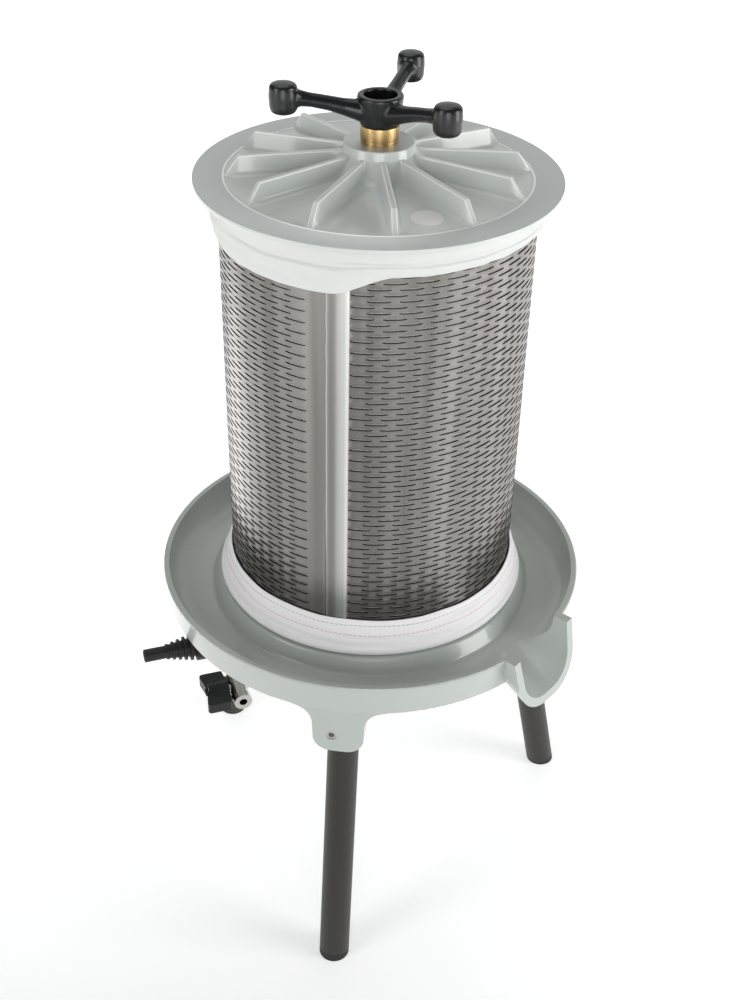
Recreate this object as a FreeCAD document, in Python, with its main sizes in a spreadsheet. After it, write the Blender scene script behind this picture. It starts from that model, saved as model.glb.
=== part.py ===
import FreeCAD, Part
import math
import os
import re
import Sketcher

# Pneumatic fruit press: a perforated basket stands on a cast tray with three legs. A rubber
# membrane on the centre column swells with air and presses the fruit against the basket.
# The lid is held down by a three-arm nut on the column. The origin is on the floor, on the
# column's axis; +Z is up and the spout points along -Y. An angle is measured round the
# column from the spout: at angle a, a point lies at (r sin a, -r cos a).

os.makedirs("parts", exist_ok=True)
doc = FreeCAD.newDocument("FruitPress")
sizes = doc.addObject("Spreadsheet::Sheet", "sizes")

# Driving dimensions, in millimetres and degrees.
DRIVING = {
    # cast tray
    "tray_radius": 242.0,
    "tray_height": 410.0,
    "tray_band": 7.0,
    "tray_wall": 5.0,
    "skirt_drop": 40.0,
    "skirt_draft": 6.0,
    "channel_drop": 32.0,
    "channel_round": 24.0,
    "seat_radius": 176.0,
    "seat_drop": 15.0,
    "seat_slope": 9.0,
    "hub_radius": 34.0,
    "hub_drop": 48.0,
    "web_thick": 5.0,
    "web_drop": 16.0,
    # spout
    "spout_reach": 6.0,
    "spout_lean": 12.0,
    "spout_fall": 28.0,
    "spout_half": 44.0,
    "spout_deep": 64.0,
    "spout_taper": 6.0,
    "spout_round": 34.0,
    "spout_wall": 10.0,
    "spout_run": 72.0,
    # leg sockets and legs
    "leg_angle": 57.5,
    "leg_splay": 11.5,
    "leg_radius": 17.5,
    "leg_wall": 2.0,
    "leg_insert": 54.0,
    "socket_half": 28.0,
    "socket_flare": 20.0,
    "socket_low": 57.0,
    "socket_depth": 50.0,
    "socket_round": 18.0,
    "socket_wall": 5.0,
    "socket_gap": 0.05,
    "cap_thick": 6.0,
    "cap_plug": 22.0,
    "screw_radius": 6.0,
    "screw_length": 30.0,
    "screw_sunk": 1.0,
    "screw_bite": 0.3,
    "screw_drop": 35.0,
    "screw_aside": 7.0,
    # basket, its rings and the press bag
    "basket_radius": 160.0,
    "basket_length": 461.0,
    "sheet_thick": 1.5,
    "slot_long": 22.5,
    "slot_high": 1.3,
    "slot_rows": 9.0,
    "slot_pitch": 48.0,
    "slot_columns": 16.0,
    "slot_start": -52.0,
    "slot_turn": 21.5,
    "slot_margin": 24.0,
    "ring_radius": 2.5,
    "cloth_thick": 2.5,
    "cloth_gap": 0.3,
    "cuff_upper": 33.0,
    "cuff_lower": 34.0,
    "cuff_swell": 2.5,
    "cuff_flare": 7.0,
    # lid
    "lid_radius": 183.0,
    "lid_rim": 11.0,
    "lid_face": 154.0,
    "lid_wall": 6.0,
    "lid_rise": 33.0,
    "lid_hub": 35.0,
    "lid_cone": 60.0,
    "lid_spigot": 6.0,
    "rib_count": 12.0,
    "rib_thick": 7.0,
    "rib_start": 16.0,
    "rib_break": 137.0,
    "rib_high": 20.0,
    # column and membrane
    "column_radius": 13.0,
    "thread_radius": 12.0,
    "air_radius": 5.0,
    "running_gap": 0.05,
    "collar_radius": 22.0,
    "collar_thick": 8.0,
    "nut_flats": 36.0,
    "nut_thick": 14.0,
    "washer_thick": 3.0,
    "plug_radius": 24.0,
    "plug_length": 32.0,
    "plug_flange": 38.0,
    "plug_lip": 4.0,
    "lid_clear": 4.0,
    "membrane_radius": 52.0,
    "membrane_wall": 3.5,
    "membrane_neck": 30.0,
    "band_thick": 1.2,
    "band_high": 10.0,
    # hand nut
    "grip_count": 3.0,
    "grip_start": 111.4,
    "grip_hub": 21.5,
    "grip_taper": 2.5,
    "grip_bore": 15.5,
    "grip_high": 24.4,
    "bush_radius": 19.0,
    "bush_show": 16.7,
    "bush_spigot": 16.0,
    "knob_reach": 93.5,
    "knob_radius": 12.8,
    "knob_high": 30.0,
    "knob_rise": 26.5,
    "arm_wide": 18.0,
    "arm_high": 19.5,
    "arm_rise": 11.5,
    "waist_wide": 11.0,
    "waist_high": 14.0,
    "waist_rise": 20.0,
    "tip_wide": 13.0,
    "tip_high": 15.0,
    "tip_rise": 26.0,
    "grub_radius": 2.0,
    "grub_angle": -95.0,
    "thrust_thick": 2.5,
    "thread_above": 28.0,
    # air line under the tray
    "line_angle": -121.0,
    "line_drop": 95.0,
    "line_radius": 8.0,
    "line_wall": 2.0,
    "tee_reach": 184.0,
    "tee_radius": 12.0,
    "tee_arm": 17.0,
    "block_high": 30.0,
    "block_radius": 22.0,
    "tail_length": 81.0,
    "tail_radius": 5.8,
    "tail_bore": 4.0,
    "boot_large": 17.0,
    "boot_small": 7.6,
    "boot_length": 73.0,
    "boot_collar": 22.0,
    "boot_base": 10.0,
    "boot_ribs": 6.0,
    "valve_aside": 84.0,
    "valve_length": 50.0,
    "valve_radius": 10.0,
    "valve_flats": 19.0,
    "valve_bore": 4.5,
    "ball_radius": 7.5,
    "stem_radius": 3.0,
    "stem_reach": 24.0,
    "stem_nut": 8.0,
    "handle_low": 11.5,
    "handle_deep": 24.0,
    "handle_half": 26.5,
    "handle_sweep": 5.0,
    "handle_thick": 12.0,
    "handle_hub": 11.5,
    "handle_pocket": 6.5,
    "handle_angle": 0.0,
}

# Values worked out from the driving ones.
DERIVED = {
    "seat_z": "tray_height - seat_drop",
    "channel_z": "tray_height - channel_drop",
    "skirt_radius": "tray_radius - skirt_draft",
    "skirt_z": "tray_height - skirt_drop",
    "hub_z": "tray_height - hub_drop",
    "socket_z": "skirt_z - socket_low",
    "basket_z": "seat_z + 2 * cloth_gap + cloth_thick",
    "basket_top": "basket_z + basket_length",
    "basket_inner": "basket_radius - sheet_thick",
    "lid_z": "basket_top + 2 * cloth_gap + cloth_thick",
    "lid_top": "lid_z + lid_rim",
    "hub_top": "lid_top + lid_rise",
    "nut_z": "hub_top + thrust_thick",
    "grip_z": "nut_z + bush_show",
    "bush_top": "grip_z + 0.65 * grip_high",
    "plug_top": "lid_z - lid_clear - nut_thick * 0.6",
    "line_z": "tray_height - line_drop",
    "column_nut_z": "hub_z - washer_thick - nut_thick",
    "block_z": "line_z - block_high / 2",
    "bore_radius": "thread_radius + running_gap",
    "leg_hole": "leg_radius + socket_gap",
    "boot_start": "tee_reach + tee_arm + 2",
    "screw_z": "skirt_z - screw_drop",
    "screw_tip": "skirt_radius - screw_sunk - screw_length",
    "leg_outside": "screw_tip - screw_bite - leg_radius / cos(leg_splay)",
    "leg_stance": "leg_outside + (screw_z - screw_radius) * tan(leg_splay)",
}

for row, (alias, amount) in enumerate(DRIVING.items(), start=1):
    sizes.set(f"A{row}", alias)
    sizes.set(f"B{row}", str(amount))
    sizes.setAlias(f"B{row}", alias)
doc.recompute()


def tied(text):
    """Turns the names in a formula into references to the sheet."""
    def swap(match):
        word = match.group(0)
        if word in DERIVED:
            return "(" + tied(DERIVED[word]) + ")"
        return "sizes." + word if word in DRIVING else word
    return re.sub(r"[a-z_]+[a-z_0-9]*", swap, text)


def value(text):
    """The number that a formula gives with the sheet's present sizes."""
    result = sizes.evalExpression(tied(text))
    return float(getattr(result, "Value", result))


def bind(thing, **formulas):
    """Binds properties of an object to formulas."""
    for name, text in formulas.items():
        thing.setExpression(name, tied(text))


def place(thing, at=("0", "0", "0"), turn="rotationz(0)", prop="Placement"):
    """Binds a placement: the position is three formulas, the turn is a rotation formula."""
    x, y, z = at
    thing.setExpression(prop, tied(f"placement(vector({x}; {y}; {z}); {turn})"))


def around(radius, angle, height):
    """A position given by its distance from the axis, its angle and its height."""
    return (f"({radius}) * sin({angle})", f"0 - ({radius}) * cos({angle})", height)


def new_body(name):
    """A body with its own origin planes."""
    made = doc.addObject("PartDesign::Body", name)
    made.Label = name
    doc.recompute()
    return made


def origin_plane(body, role):
    """One of the body's origin planes or axes."""
    for feature in body.Origin.OriginFeatures:
        if feature.Role == role:
            return feature
    raise ValueError(role)


def new_sketch(body, name, role="XZ_Plane", at=("0", "0", "0"), turn="rotationz(0)"):
    """A sketch on an origin plane, moved and turned in that plane's own axes."""
    sketch = body.newObject("Sketcher::SketchObject", name)
    sketch.AttachmentSupport = (origin_plane(body, role), [""])
    sketch.MapMode = "FlatFace"
    place(sketch, at, turn, "AttachmentOffset")
    return sketch


def radial_sketch(body, name, angle):
    """A sketch in the upright half-plane at an angle: x is the radius, y is the height."""
    return new_sketch(body, name, turn=f"rotationy({angle} - 90)")


def facing_sketch(body, name, angle, distance):
    """An upright sketch that faces outwards at an angle, at a distance from the axis."""
    where = (f"({distance}) * sin({angle})", "0", f"({distance}) * cos({angle})")
    return new_sketch(body, name, at=where, turn=f"rotationy({angle})")


def corner_round(before, corner, after, radius):
    """Ends and centre of the arc that rounds a corner."""
    to_before = (before - corner).normalize()
    to_after = (after - corner).normalize()
    half = to_before.getAngle(to_after) / 2
    cut = radius / math.tan(half)
    centre = corner + (to_before + to_after).normalize() * (radius / math.sin(half))
    return corner + to_before * cut, corner + to_after * cut, centre


def add_outline(sketch, corners):
    """Draws a closed outline. A corner is (x, y) or (x, y, rounding radius), all formulas."""
    points = [FreeCAD.Vector(value(c[0]), value(c[1]), 0) for c in corners]
    count = len(points)
    ends = []
    for i, corner in enumerate(corners):
        if len(corner) > 2:
            ends.append(corner_round(points[i - 1], points[i], points[(i + 1) % count],
                                     value(corner[2])))
        else:
            ends.append((points[i], points[i], None))
    lines = [sketch.addGeometry(Part.LineSegment(ends[i][1], ends[(i + 1) % count][0]), False)
             for i in range(count)]
    for i, corner in enumerate(corners):
        before, after = lines[i - 1], lines[i]
        if len(corner) > 2:
            first, last, centre = ends[i]
            anchor = add_round(sketch, before, after, points[i], first, last, centre, corner[2])
        else:
            sketch.addConstraint(Sketcher.Constraint("Coincident", before, 2, after, 1))
            anchor = after
        for kind, text in (("DistanceX", corner[0]), ("DistanceY", corner[1])):
            index = sketch.addConstraint(
                Sketcher.Constraint(kind, -1, 1, anchor, 1, value(text)))
            sketch.setExpression(f"Constraints[{index}]", tied(text))


def add_round(sketch, before, after, point, first, last, centre, radius_text):
    """Adds the tangent arc of one rounded corner, and the corner itself as a marked point."""
    start = math.atan2(first.y - centre.y, first.x - centre.x)
    stop = math.atan2(last.y - centre.y, last.x - centre.x)
    leftward = (first - centre).cross(last - centre).z > 0
    if not leftward:
        start, stop = stop, start
    circle = Part.Circle(centre, FreeCAD.Vector(0, 0, 1), value(radius_text))
    arc = sketch.addGeometry(Part.ArcOfCircle(circle, start, stop), False)
    near, far = (1, 2) if leftward else (2, 1)
    sketch.addConstraint(Sketcher.Constraint("Tangent", before, 2, arc, near))
    sketch.addConstraint(Sketcher.Constraint("Tangent", arc, far, after, 1))
    index = sketch.addConstraint(Sketcher.Constraint("Radius", arc, value(radius_text)))
    sketch.setExpression(f"Constraints[{index}]", tied(radius_text))
    marked = sketch.addGeometry(Part.Point(point), True)
    sketch.addConstraint(Sketcher.Constraint("PointOnObject", marked, 1, before))
    sketch.addConstraint(Sketcher.Constraint("PointOnObject", marked, 1, after))
    return marked


def turned(body, name, corners, kind="PartDesign::Revolution", sketch=None):
    """Revolves an outline round the body's Z axis, as a solid or as a groove."""
    sketch = sketch or new_sketch(body, name + "_outline")
    add_outline(sketch, corners)
    doc.recompute()
    feature = body.newObject(kind, name)
    feature.Profile = sketch
    feature.ReferenceAxis = (sketch, ["V_Axis"])
    feature.Angle = 360
    doc.recompute()
    return feature


def turned_piece(name, corners):
    """A sub-part that is one turned outline."""
    body = new_body(name)
    turned(body, name + "_turning", corners)
    return body


def padded(body, name, sketch, length, both_ways=False, inward=False, along=None,
           kind="PartDesign::Pad"):
    """Extrudes a sketch, or cuts with it, by a length along its normal or a given way."""
    doc.recompute()
    feature = body.newObject(kind, name)
    feature.Profile = sketch
    if both_ways:
        feature.SideType = "Symmetric"
    feature.Reversed = inward
    bind(feature, Length=length)
    if along:
        feature.UseCustomVector = True
        feature.AlongSketchNormal = False
        feature.Direction = FreeCAD.Vector(*[value(text) for text in along])
        for axis, text in zip("xyz", along):
            feature.setExpression("Direction." + axis, tied(text))
    doc.recompute()
    return feature


def patterned(body, name, features, count):
    """Repeats features evenly round the body's Z axis."""
    pattern = body.newObject("PartDesign::PolarPattern", name)
    pattern.Originals = features
    pattern.Axis = (origin_plane(body, "Z_Axis"), [""])
    pattern.Angle = 360
    bind(pattern, Occurrences=count)
    body.Tip = pattern
    doc.recompute()
    return pattern


def bored(body, name, radius, length, at, turn="rotationz(0)",
          kind="PartDesign::SubtractiveCylinder"):
    """Drills a round hole, or adds a round boss, whose foot, direction and length are formulas."""
    hole = body.newObject(kind, name)
    hole.AttachmentSupport = (origin_plane(body, "XY_Plane"), [""])
    hole.MapMode = "FlatFace"
    bind(hole, Radius=radius, Height=length)
    place(hole, at, turn, "AttachmentOffset")
    doc.recompute()
    return hole


def round_bar(name, radius, length, at=("0", "0", "0"), turn="rotationz(0)"):
    """A plain cylinder."""
    bar = doc.addObject("Part::Cylinder", name)
    bind(bar, Radius=radius, Height=length)
    place(bar, at, turn)
    return bar


def block(name, size, at):
    """A plain box with a corner at a position."""
    made = doc.addObject("Part::Box", name)
    bind(made, Length=size[0], Width=size[1], Height=size[2])
    place(made, at)
    return made


def hex_bar(name, flats, length, at=("0", "0", "0"), turn="rotationz(0)"):
    """A hexagonal prism given by its width across the flats."""
    bar = doc.addObject("Part::Prism", name)
    bar.Polygon = 6
    bind(bar, Circumradius=f"({flats}) / 2 / cos(30)", Height=length)
    place(bar, at, turn)
    return bar


def joined(name, *shapes):
    """One solid from several that overlap."""
    made = doc.addObject("Part::MultiFuse", name)
    made.Shapes = list(shapes)
    made.Refine = True
    return made


def cut_from(name, base, *tools):
    """A solid with other solids taken away."""
    for i, tool in enumerate(tools):
        made = doc.addObject("Part::Cut", name if tool is tools[-1] else f"{name}_cut_{i}")
        made.Base = base
        made.Tool = tool
        base = made
    return base


SUBPARTS = []


def finished(piece, name):
    """Marks an object as a sub-part and labels it with its node's name."""
    piece.Label = name
    SUBPARTS.append((name, piece))
    return piece


OUTWARD = "rotationz({0}) * rotationx(90)"
LEG_ANGLES = {"leg_left": "0 - leg_angle", "leg_right": "leg_angle", "leg_rear": "180"}


def leg_frame(angle):
    """Foot point and direction of a leg, which leans towards the axis as it rises."""
    return around("leg_stance", angle, "0"), f"rotationz({angle}) * rotationx(0 - leg_splay)"


def along_leg(angle, length):
    """A point on a leg's axis, at a length from its foot point."""
    return around(f"leg_stance - ({length}) * sin(leg_splay)", angle,
                  f"({length}) * cos(leg_splay)")


# The tray is turned with its dish still full. The sockets, webs and spout are added, and
# then the dish, the spout's trough and the holes are cut, so nothing stands in the channel.
def make_tray():
    body = new_body("juice_tray")
    hollow = "tray_radius - tray_wall"
    hollow_low = "skirt_radius - tray_wall"
    curve = "tray_radius - tray_band - channel_round"
    turned(body, "tray_casting", [
        ("bore_radius", "tray_height"),
        ("tray_radius", "tray_height", "2"),
        ("skirt_radius", "skirt_z", "1.5"),
        (hollow_low, "skirt_z"),
        (hollow, "channel_z + 1"),
        (curve, "channel_z - tray_wall"),
        ("seat_radius + seat_slope", "channel_z - tray_wall"),
        ("seat_radius - tray_wall", "seat_z - tray_wall"),
        ("hub_radius", "seat_z - tray_wall", "6"),
        ("hub_radius", "hub_z", "3"),
        ("bore_radius", "hub_z"),
    ])
    for name, angle in LEG_ANGLES.items():
        socket = facing_sketch(body, name + "_socket_outline", angle, "tray_radius")
        flare = "socket_half + socket_flare + 2"
        low = "socket_z"
        add_outline(socket, [
            (f"0 - ({flare})", "skirt_z + 3"),
            (f"0 - ({flare})", "skirt_z"),
            ("0 - socket_half - 1", "skirt_z", "socket_flare"),
            ("1 - socket_half", low, "socket_round"),
            ("socket_half - 1", low, "socket_round"),
            ("socket_half + 1", "skirt_z", "socket_flare"),
            (flare, "skirt_z"),
            (flare, "skirt_z + 3"),
        ])
        padded(body, name + "_socket", socket, "socket_depth", inward=True)
        at, lean = leg_frame(angle)
        start = "socket_z / cos(leg_splay)"
        bored(body, name + "_boss", "leg_hole + socket_wall",
              "(channel_z - tray_wall - 1 - socket_z) / cos(leg_splay)",
              along_leg(angle, start), lean, kind="PartDesign::AdditiveCylinder")
    turned(body, "skirt_trim", [
        ("skirt_radius", "socket_z - 5"),
        ("tray_radius + 20", "socket_z - 5"),
        ("tray_radius + 20", "skirt_z + 4"),
        ("skirt_radius + 4 * skirt_draft / skirt_drop", "skirt_z + 4"),
        ("skirt_radius", "skirt_z"),
    ], kind="PartDesign::Groove")
    for i in range(6):
        web = radial_sketch(body, f"web_outline_{i}", f"{30 + 60 * i}")
        add_outline(web, [
            ("hub_radius - 4", "seat_z - tray_wall + 1"),
            ("hub_radius - 4", "seat_z - tray_wall - web_drop"),
            (hollow_low + " + 1", "skirt_z + 1"),
            (hollow_low + " + 1", "channel_z - tray_wall + 2"),
            ("seat_radius + seat_slope + 2", "channel_z - tray_wall + 1"),
            ("seat_radius - tray_wall", "seat_z - tray_wall + 1"),
        ])
        padded(body, f"web_{i}", web, "web_thick", both_ways=True)
    spout_plane = {
        "at": ("0", "tray_height", "tray_radius + spout_reach"),
        "turn": "rotationx(0 - spout_lean)",
    }
    slope = ("0", "cos(spout_fall)", "sin(spout_fall)")
    outer = new_sketch(body, "spout_outline", **spout_plane)
    wide = "spout_half + spout_wall"
    deep = "spout_deep + spout_wall"
    add_outline(outer, [
        (f"0 - ({wide})", "0"),
        (f"spout_taper - ({wide})", f"0 - ({deep})", "spout_round + spout_wall"),
        (f"{wide} - spout_taper", f"0 - ({deep})", "spout_round + spout_wall"),
        (wide, "0"),
    ])
    padded(body, "spout_body", outer, "spout_run - 6", along=slope)
    turned(body, "dish", [
        ("0", "seat_z"),
        ("seat_radius", "seat_z", "4"),
        ("seat_radius + seat_slope", "channel_z", "6"),
        ("tray_radius - tray_band", "channel_z", "channel_round"),
        ("tray_radius - tray_band", "tray_height + 60"),
        ("0", "tray_height + 60"),
    ], kind="PartDesign::Groove")
    trim = new_sketch(body, "rim_level", role="XY_Plane", at=("0", "0", "tray_height"))
    reach = "tray_radius + 60"
    add_outline(trim, [(f"0 - ({reach})", f"0 - ({reach})"), (reach, f"0 - ({reach})"),
                       (reach, reach), (f"0 - ({reach})", reach)])
    padded(body, "rim_trim", trim, "80", inward=True, kind="PartDesign::Pocket")
    inner = new_sketch(body, "trough_outline", **spout_plane)
    add_outline(inner, [
        ("0 - spout_half", "6"),
        ("0 - spout_half", "0"),
        ("spout_taper - spout_half", "0 - spout_deep", "spout_round"),
        ("spout_half - spout_taper", "0 - spout_deep", "spout_round"),
        ("spout_half", "0"),
        ("spout_half", "6"),
    ])
    padded(body, "trough", inner, "spout_run", along=slope, kind="PartDesign::Pocket")
    for name, angle in LEG_ANGLES.items():
        at, lean = leg_frame(angle)
        bored(body, name + "_hole", "leg_hole",
              "(socket_z + leg_insert) / cos(leg_splay) + 1", at, lean)
        bored(body, name + "_screw_hole", "screw_radius + running_gap", "screw_length + 40",
              screw_point(angle, "screw_tip - 8"), OUTWARD.format(angle))
    return finished(body, "juice_tray")


def screw_point(angle, radius):
    """A point on a set screw's axis, which lies a little to one side of its leg."""
    x, y, z = around(radius, angle, "screw_z")
    return (f"{x} - screw_aside * cos({angle})", f"{y} - screw_aside * sin({angle})", z)


def make_legs():
    top = "(socket_z + leg_insert) / cos(leg_splay)"
    for name, angle in LEG_ANGLES.items():
        tube = cut_from(
            name,
            round_bar(name + "_outside", "leg_radius", f"{top} - cap_thick", ("0", "0", "cap_thick")),
            round_bar(name + "_inside", "leg_radius - leg_wall", f"{top}", ("0", "0", "0")))
        at, lean = leg_frame(angle)
        place(tube, at, lean)
        finished(tube, name)
        make_foot(name.replace("leg", "foot"), angle)


def make_foot(name, angle):
    """A plastic plug in the end of a leg, cut level so that it stands flat."""
    at, lean = leg_frame(angle)
    plug = joined(
        name + "_plug",
        round_bar(name + "_pad", "leg_radius", "cap_thick + 10", ("0", "0", "0 - 10")),
        round_bar(name + "_stem", "leg_radius - leg_wall - running_gap", "cap_plug + cap_thick"))
    place(plug, at, lean)
    x, y, _ = around("leg_stance", angle, "0")
    wide = "leg_radius * 2.2"
    under = block(name + "_floor", (f"2 * {wide}", f"2 * {wide}", wide),
                  (f"{x} - {wide}", f"{y} - {wide}", f"0 - {wide}"))
    finished(cut_from(name, plug, under), name)


def make_leg_screws():
    """Set screws with a hexagon socket, one in each leg socket."""
    screws = []
    for name, angle in LEG_ANGLES.items():
        screw = cut_from(
            name + "_screw",
            round_bar(name + "_screw_bar", "screw_radius", "screw_length"),
            hex_bar(name + "_screw_key", "screw_radius", "screw_radius",
                    ("0", "0", "screw_length - screw_radius * 0.8")))
        place(screw, screw_point(angle, "screw_tip"), OUTWARD.format(angle))
        screws.append(screw)
    group = doc.addObject("Part::Compound", "leg_screws")
    group.Links = screws
    finished(group, "leg_screws")


def slotted(body, name, angle, height):
    """Cuts one slot through the sheet, repeated up the basket and most of the way round."""
    sketch = facing_sketch(body, name + "_outline", angle, "basket_inner - 2")
    half = "slot_long / 2"
    add_outline(sketch, [
        (f"0 - {half}", height), (half, height),
        (half, f"{height} + slot_high"), (f"0 - {half}", f"{height} + slot_high")])
    first = padded(body, name, sketch, "sheet_thick + 6", inward=True, kind="PartDesign::Pocket")
    field = body.newObject("PartDesign::MultiTransform", name + "_field")
    upwards = body.newObject("PartDesign::LinearPattern", name + "_upwards")
    upwards.Direction = (origin_plane(body, "Z_Axis"), [""])
    bind(upwards, Length="(slot_rows - 1) * slot_pitch", Occurrences="slot_rows")
    sideways = body.newObject("PartDesign::PolarPattern", name + "_sideways")
    sideways.Axis = (origin_plane(body, "Z_Axis"), [""])
    bind(sideways, Angle="(slot_columns - 1) * slot_turn", Occurrences="slot_columns")
    field.Originals = [first]
    field.Transformations = [upwards, sideways]
    body.Tip = field
    doc.recompute()


def make_basket():
    shell = turned_piece("basket_shell", [
        ("basket_inner", "basket_z"),
        ("basket_radius", "basket_z"),
        ("basket_radius", "basket_top"),
        ("basket_inner", "basket_top"),
    ])
    slotted(shell, "slots_even", "slot_start", "basket_z + slot_margin")
    slotted(shell, "slots_odd", "slot_start + slot_turn / 2",
            "basket_z + slot_margin + slot_pitch / 2")
    finished(shell, "basket_shell")
    for name, height in (("rim_ring_lower", "basket_z + ring_radius + 2"),
                         ("rim_ring_upper", "basket_top - ring_radius - 2")):
        centre = "basket_radius + ring_radius"
        ring = new_body(name)
        sketch = new_sketch(ring, name + "_section")
        circle = sketch.addGeometry(Part.Circle(
            FreeCAD.Vector(value(centre), value(height), 0), FreeCAD.Vector(0, 0, 1),
            value("ring_radius")), False)
        for kind, text in (("DistanceX", centre), ("DistanceY", height)):
            index = sketch.addConstraint(
                Sketcher.Constraint(kind, -1, 1, circle, 3, value(text)))
            sketch.setExpression(f"Constraints[{index}]", tied(text))
        index = sketch.addConstraint(Sketcher.Constraint("Radius", circle, value("ring_radius")))
        sketch.setExpression(f"Constraints[{index}]", tied("ring_radius"))
        doc.recompute()
        feature = ring.newObject("PartDesign::Revolution", name + "_turning")
        feature.Profile = sketch
        feature.ReferenceAxis = (sketch, ["V_Axis"])
        feature.Angle = 360
        finished(ring, name)


def make_bag():
    """A cloth sleeve inside the basket, folded out over both of its edges."""
    clear_in = "basket_inner - cloth_gap"
    inside = f"{clear_in} - cloth_thick"
    clear_out = "basket_radius + cloth_gap"
    over_ring = "basket_radius + 2 * ring_radius + cloth_gap"
    ring_low = "basket_z + 2 * ring_radius + 2.5"
    ring_top = "basket_top - 2 * ring_radius - 2.5"
    finished(turned_piece("press_bag", [
        (inside, "basket_z - cloth_gap - cloth_thick", "2"),
        (f"{over_ring} + cloth_thick + cuff_flare", "basket_z - cloth_gap - cloth_thick", "2"),
        (f"{over_ring} + cloth_thick", "basket_z + 22", "8"),
        (f"{clear_out} + cloth_thick", "basket_z + cuff_lower"),
        (clear_out, "basket_z + cuff_lower"),
        (clear_out, ring_low),
        (over_ring, ring_low),
        (over_ring, "basket_z - cloth_gap"),
        (clear_in, "basket_z - cloth_gap"),
        (clear_in, "basket_top + cloth_gap"),
        (over_ring, "basket_top + cloth_gap"),
        (over_ring, ring_top),
        (clear_out, ring_top),
        (clear_out, "basket_top - cuff_upper"),
        (f"{clear_out} + cloth_thick", "basket_top - cuff_upper"),
        (f"{over_ring} + cloth_thick + cuff_swell", "basket_top - 18", "8"),
        (f"{over_ring} + cloth_thick + cuff_swell - 1", "basket_top + cloth_gap + cloth_thick", "3"),
        (inside, "basket_top + cloth_gap + cloth_thick", "2"),
    ]), "press_bag")


def make_lid():
    body = new_body("lid")
    under = "lid_top - 1 - lid_wall"
    turned(body, "lid_casting", [
        ("bore_radius", "hub_top"),
        ("lid_hub", "hub_top", "1.5"),
        ("lid_hub + 2", "hub_top - 7", "3"),
        ("lid_cone", "lid_top + 5", "24"),
        ("lid_face - 2", "lid_top - 1"),
        ("lid_face", "lid_top"),
        ("lid_radius", "lid_top", "2"),
        ("lid_radius", "lid_z", "2"),
        ("basket_inner - cloth_thick - 3", "lid_z"),
        ("basket_inner - cloth_thick - 3.5", "lid_z - lid_spigot", "1"),
        ("basket_inner - cloth_thick - 10", "lid_z - lid_spigot", "1"),
        ("basket_inner - cloth_thick - 12", under),
        ("lid_cone", f"{under} + 5"),
        ("lid_hub", f"{under} + 22"),
        ("lid_hub - 9", f"{under} + 22"),
        ("lid_hub - 9", "lid_z"),
        ("bore_radius", "lid_z"),
    ])
    rib = radial_sketch(body, "rib_outline", "rib_start")
    add_outline(rib, [
        ("lid_hub - 2", "hub_top - 8"),
        ("rib_break", "lid_top + rib_high", "3"),
        ("lid_face - 1.5", "lid_top - 1.5"),
        ("lid_face - 3", f"{under} + 2"),
        ("lid_cone", f"{under} + 6"),
        ("lid_hub - 2", f"{under} + 24"),
    ])
    first = padded(body, "rib", rib, "rib_thick", both_ways=True)
    patterned(body, "ribs", [first], "rib_count")
    finished(body, "lid")


def make_column():
    """The threaded pipe that leads air to the membrane and carries the lid's load."""
    body = new_body("centre_column")
    low = "block_z + 8"
    turned(body, "column_turning", [
        ("air_radius", low),
        ("thread_radius", low),
        ("thread_radius", "seat_z"),
        ("collar_radius", "seat_z"),
        ("collar_radius", "seat_z + collar_thick", "2"),
        ("column_radius", "seat_z + collar_thick"),
        ("column_radius", "plug_top"),
        ("thread_radius", "plug_top"),
        ("thread_radius", "nut_z + thread_above"),
        ("thread_radius - 1.5", "nut_z + thread_above + 1.5"),
        ("0", "nut_z + thread_above + 1.5"),
        ("0", "plug_top - 200"),
        ("air_radius", "plug_top - 205"),
    ])
    bored(body, "air_outlet", "3", "4 * column_radius",
          ("0 - 2 * column_radius", "0", "plug_top - 225"), "rotationy(90)")
    finished(body, "centre_column")


def make_column_nuts():
    washer = turned_piece("column_washer", [
        ("bore_radius", "hub_z - washer_thick"),
        ("nut_flats / 2 + 5", "hub_z - washer_thick", "0.8"),
        ("nut_flats / 2 + 5", "hub_z"),
        ("bore_radius", "hub_z"),
    ])
    finished(washer, "column_washer")
    for name, thick, height in (("column_nut", "nut_thick", "column_nut_z"),
                                ("plug_nut", "nut_thick * 0.6", "plug_top")):
        nut = cut_from(
            name,
            hex_bar(name + "_hex", "nut_flats", thick),
            round_bar(name + "_bore", "bore_radius", f"{thick} + 2", ("0", "0", "0 - 1")))
        place(nut, ("0", "0", height))
        finished(nut, name)


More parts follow.
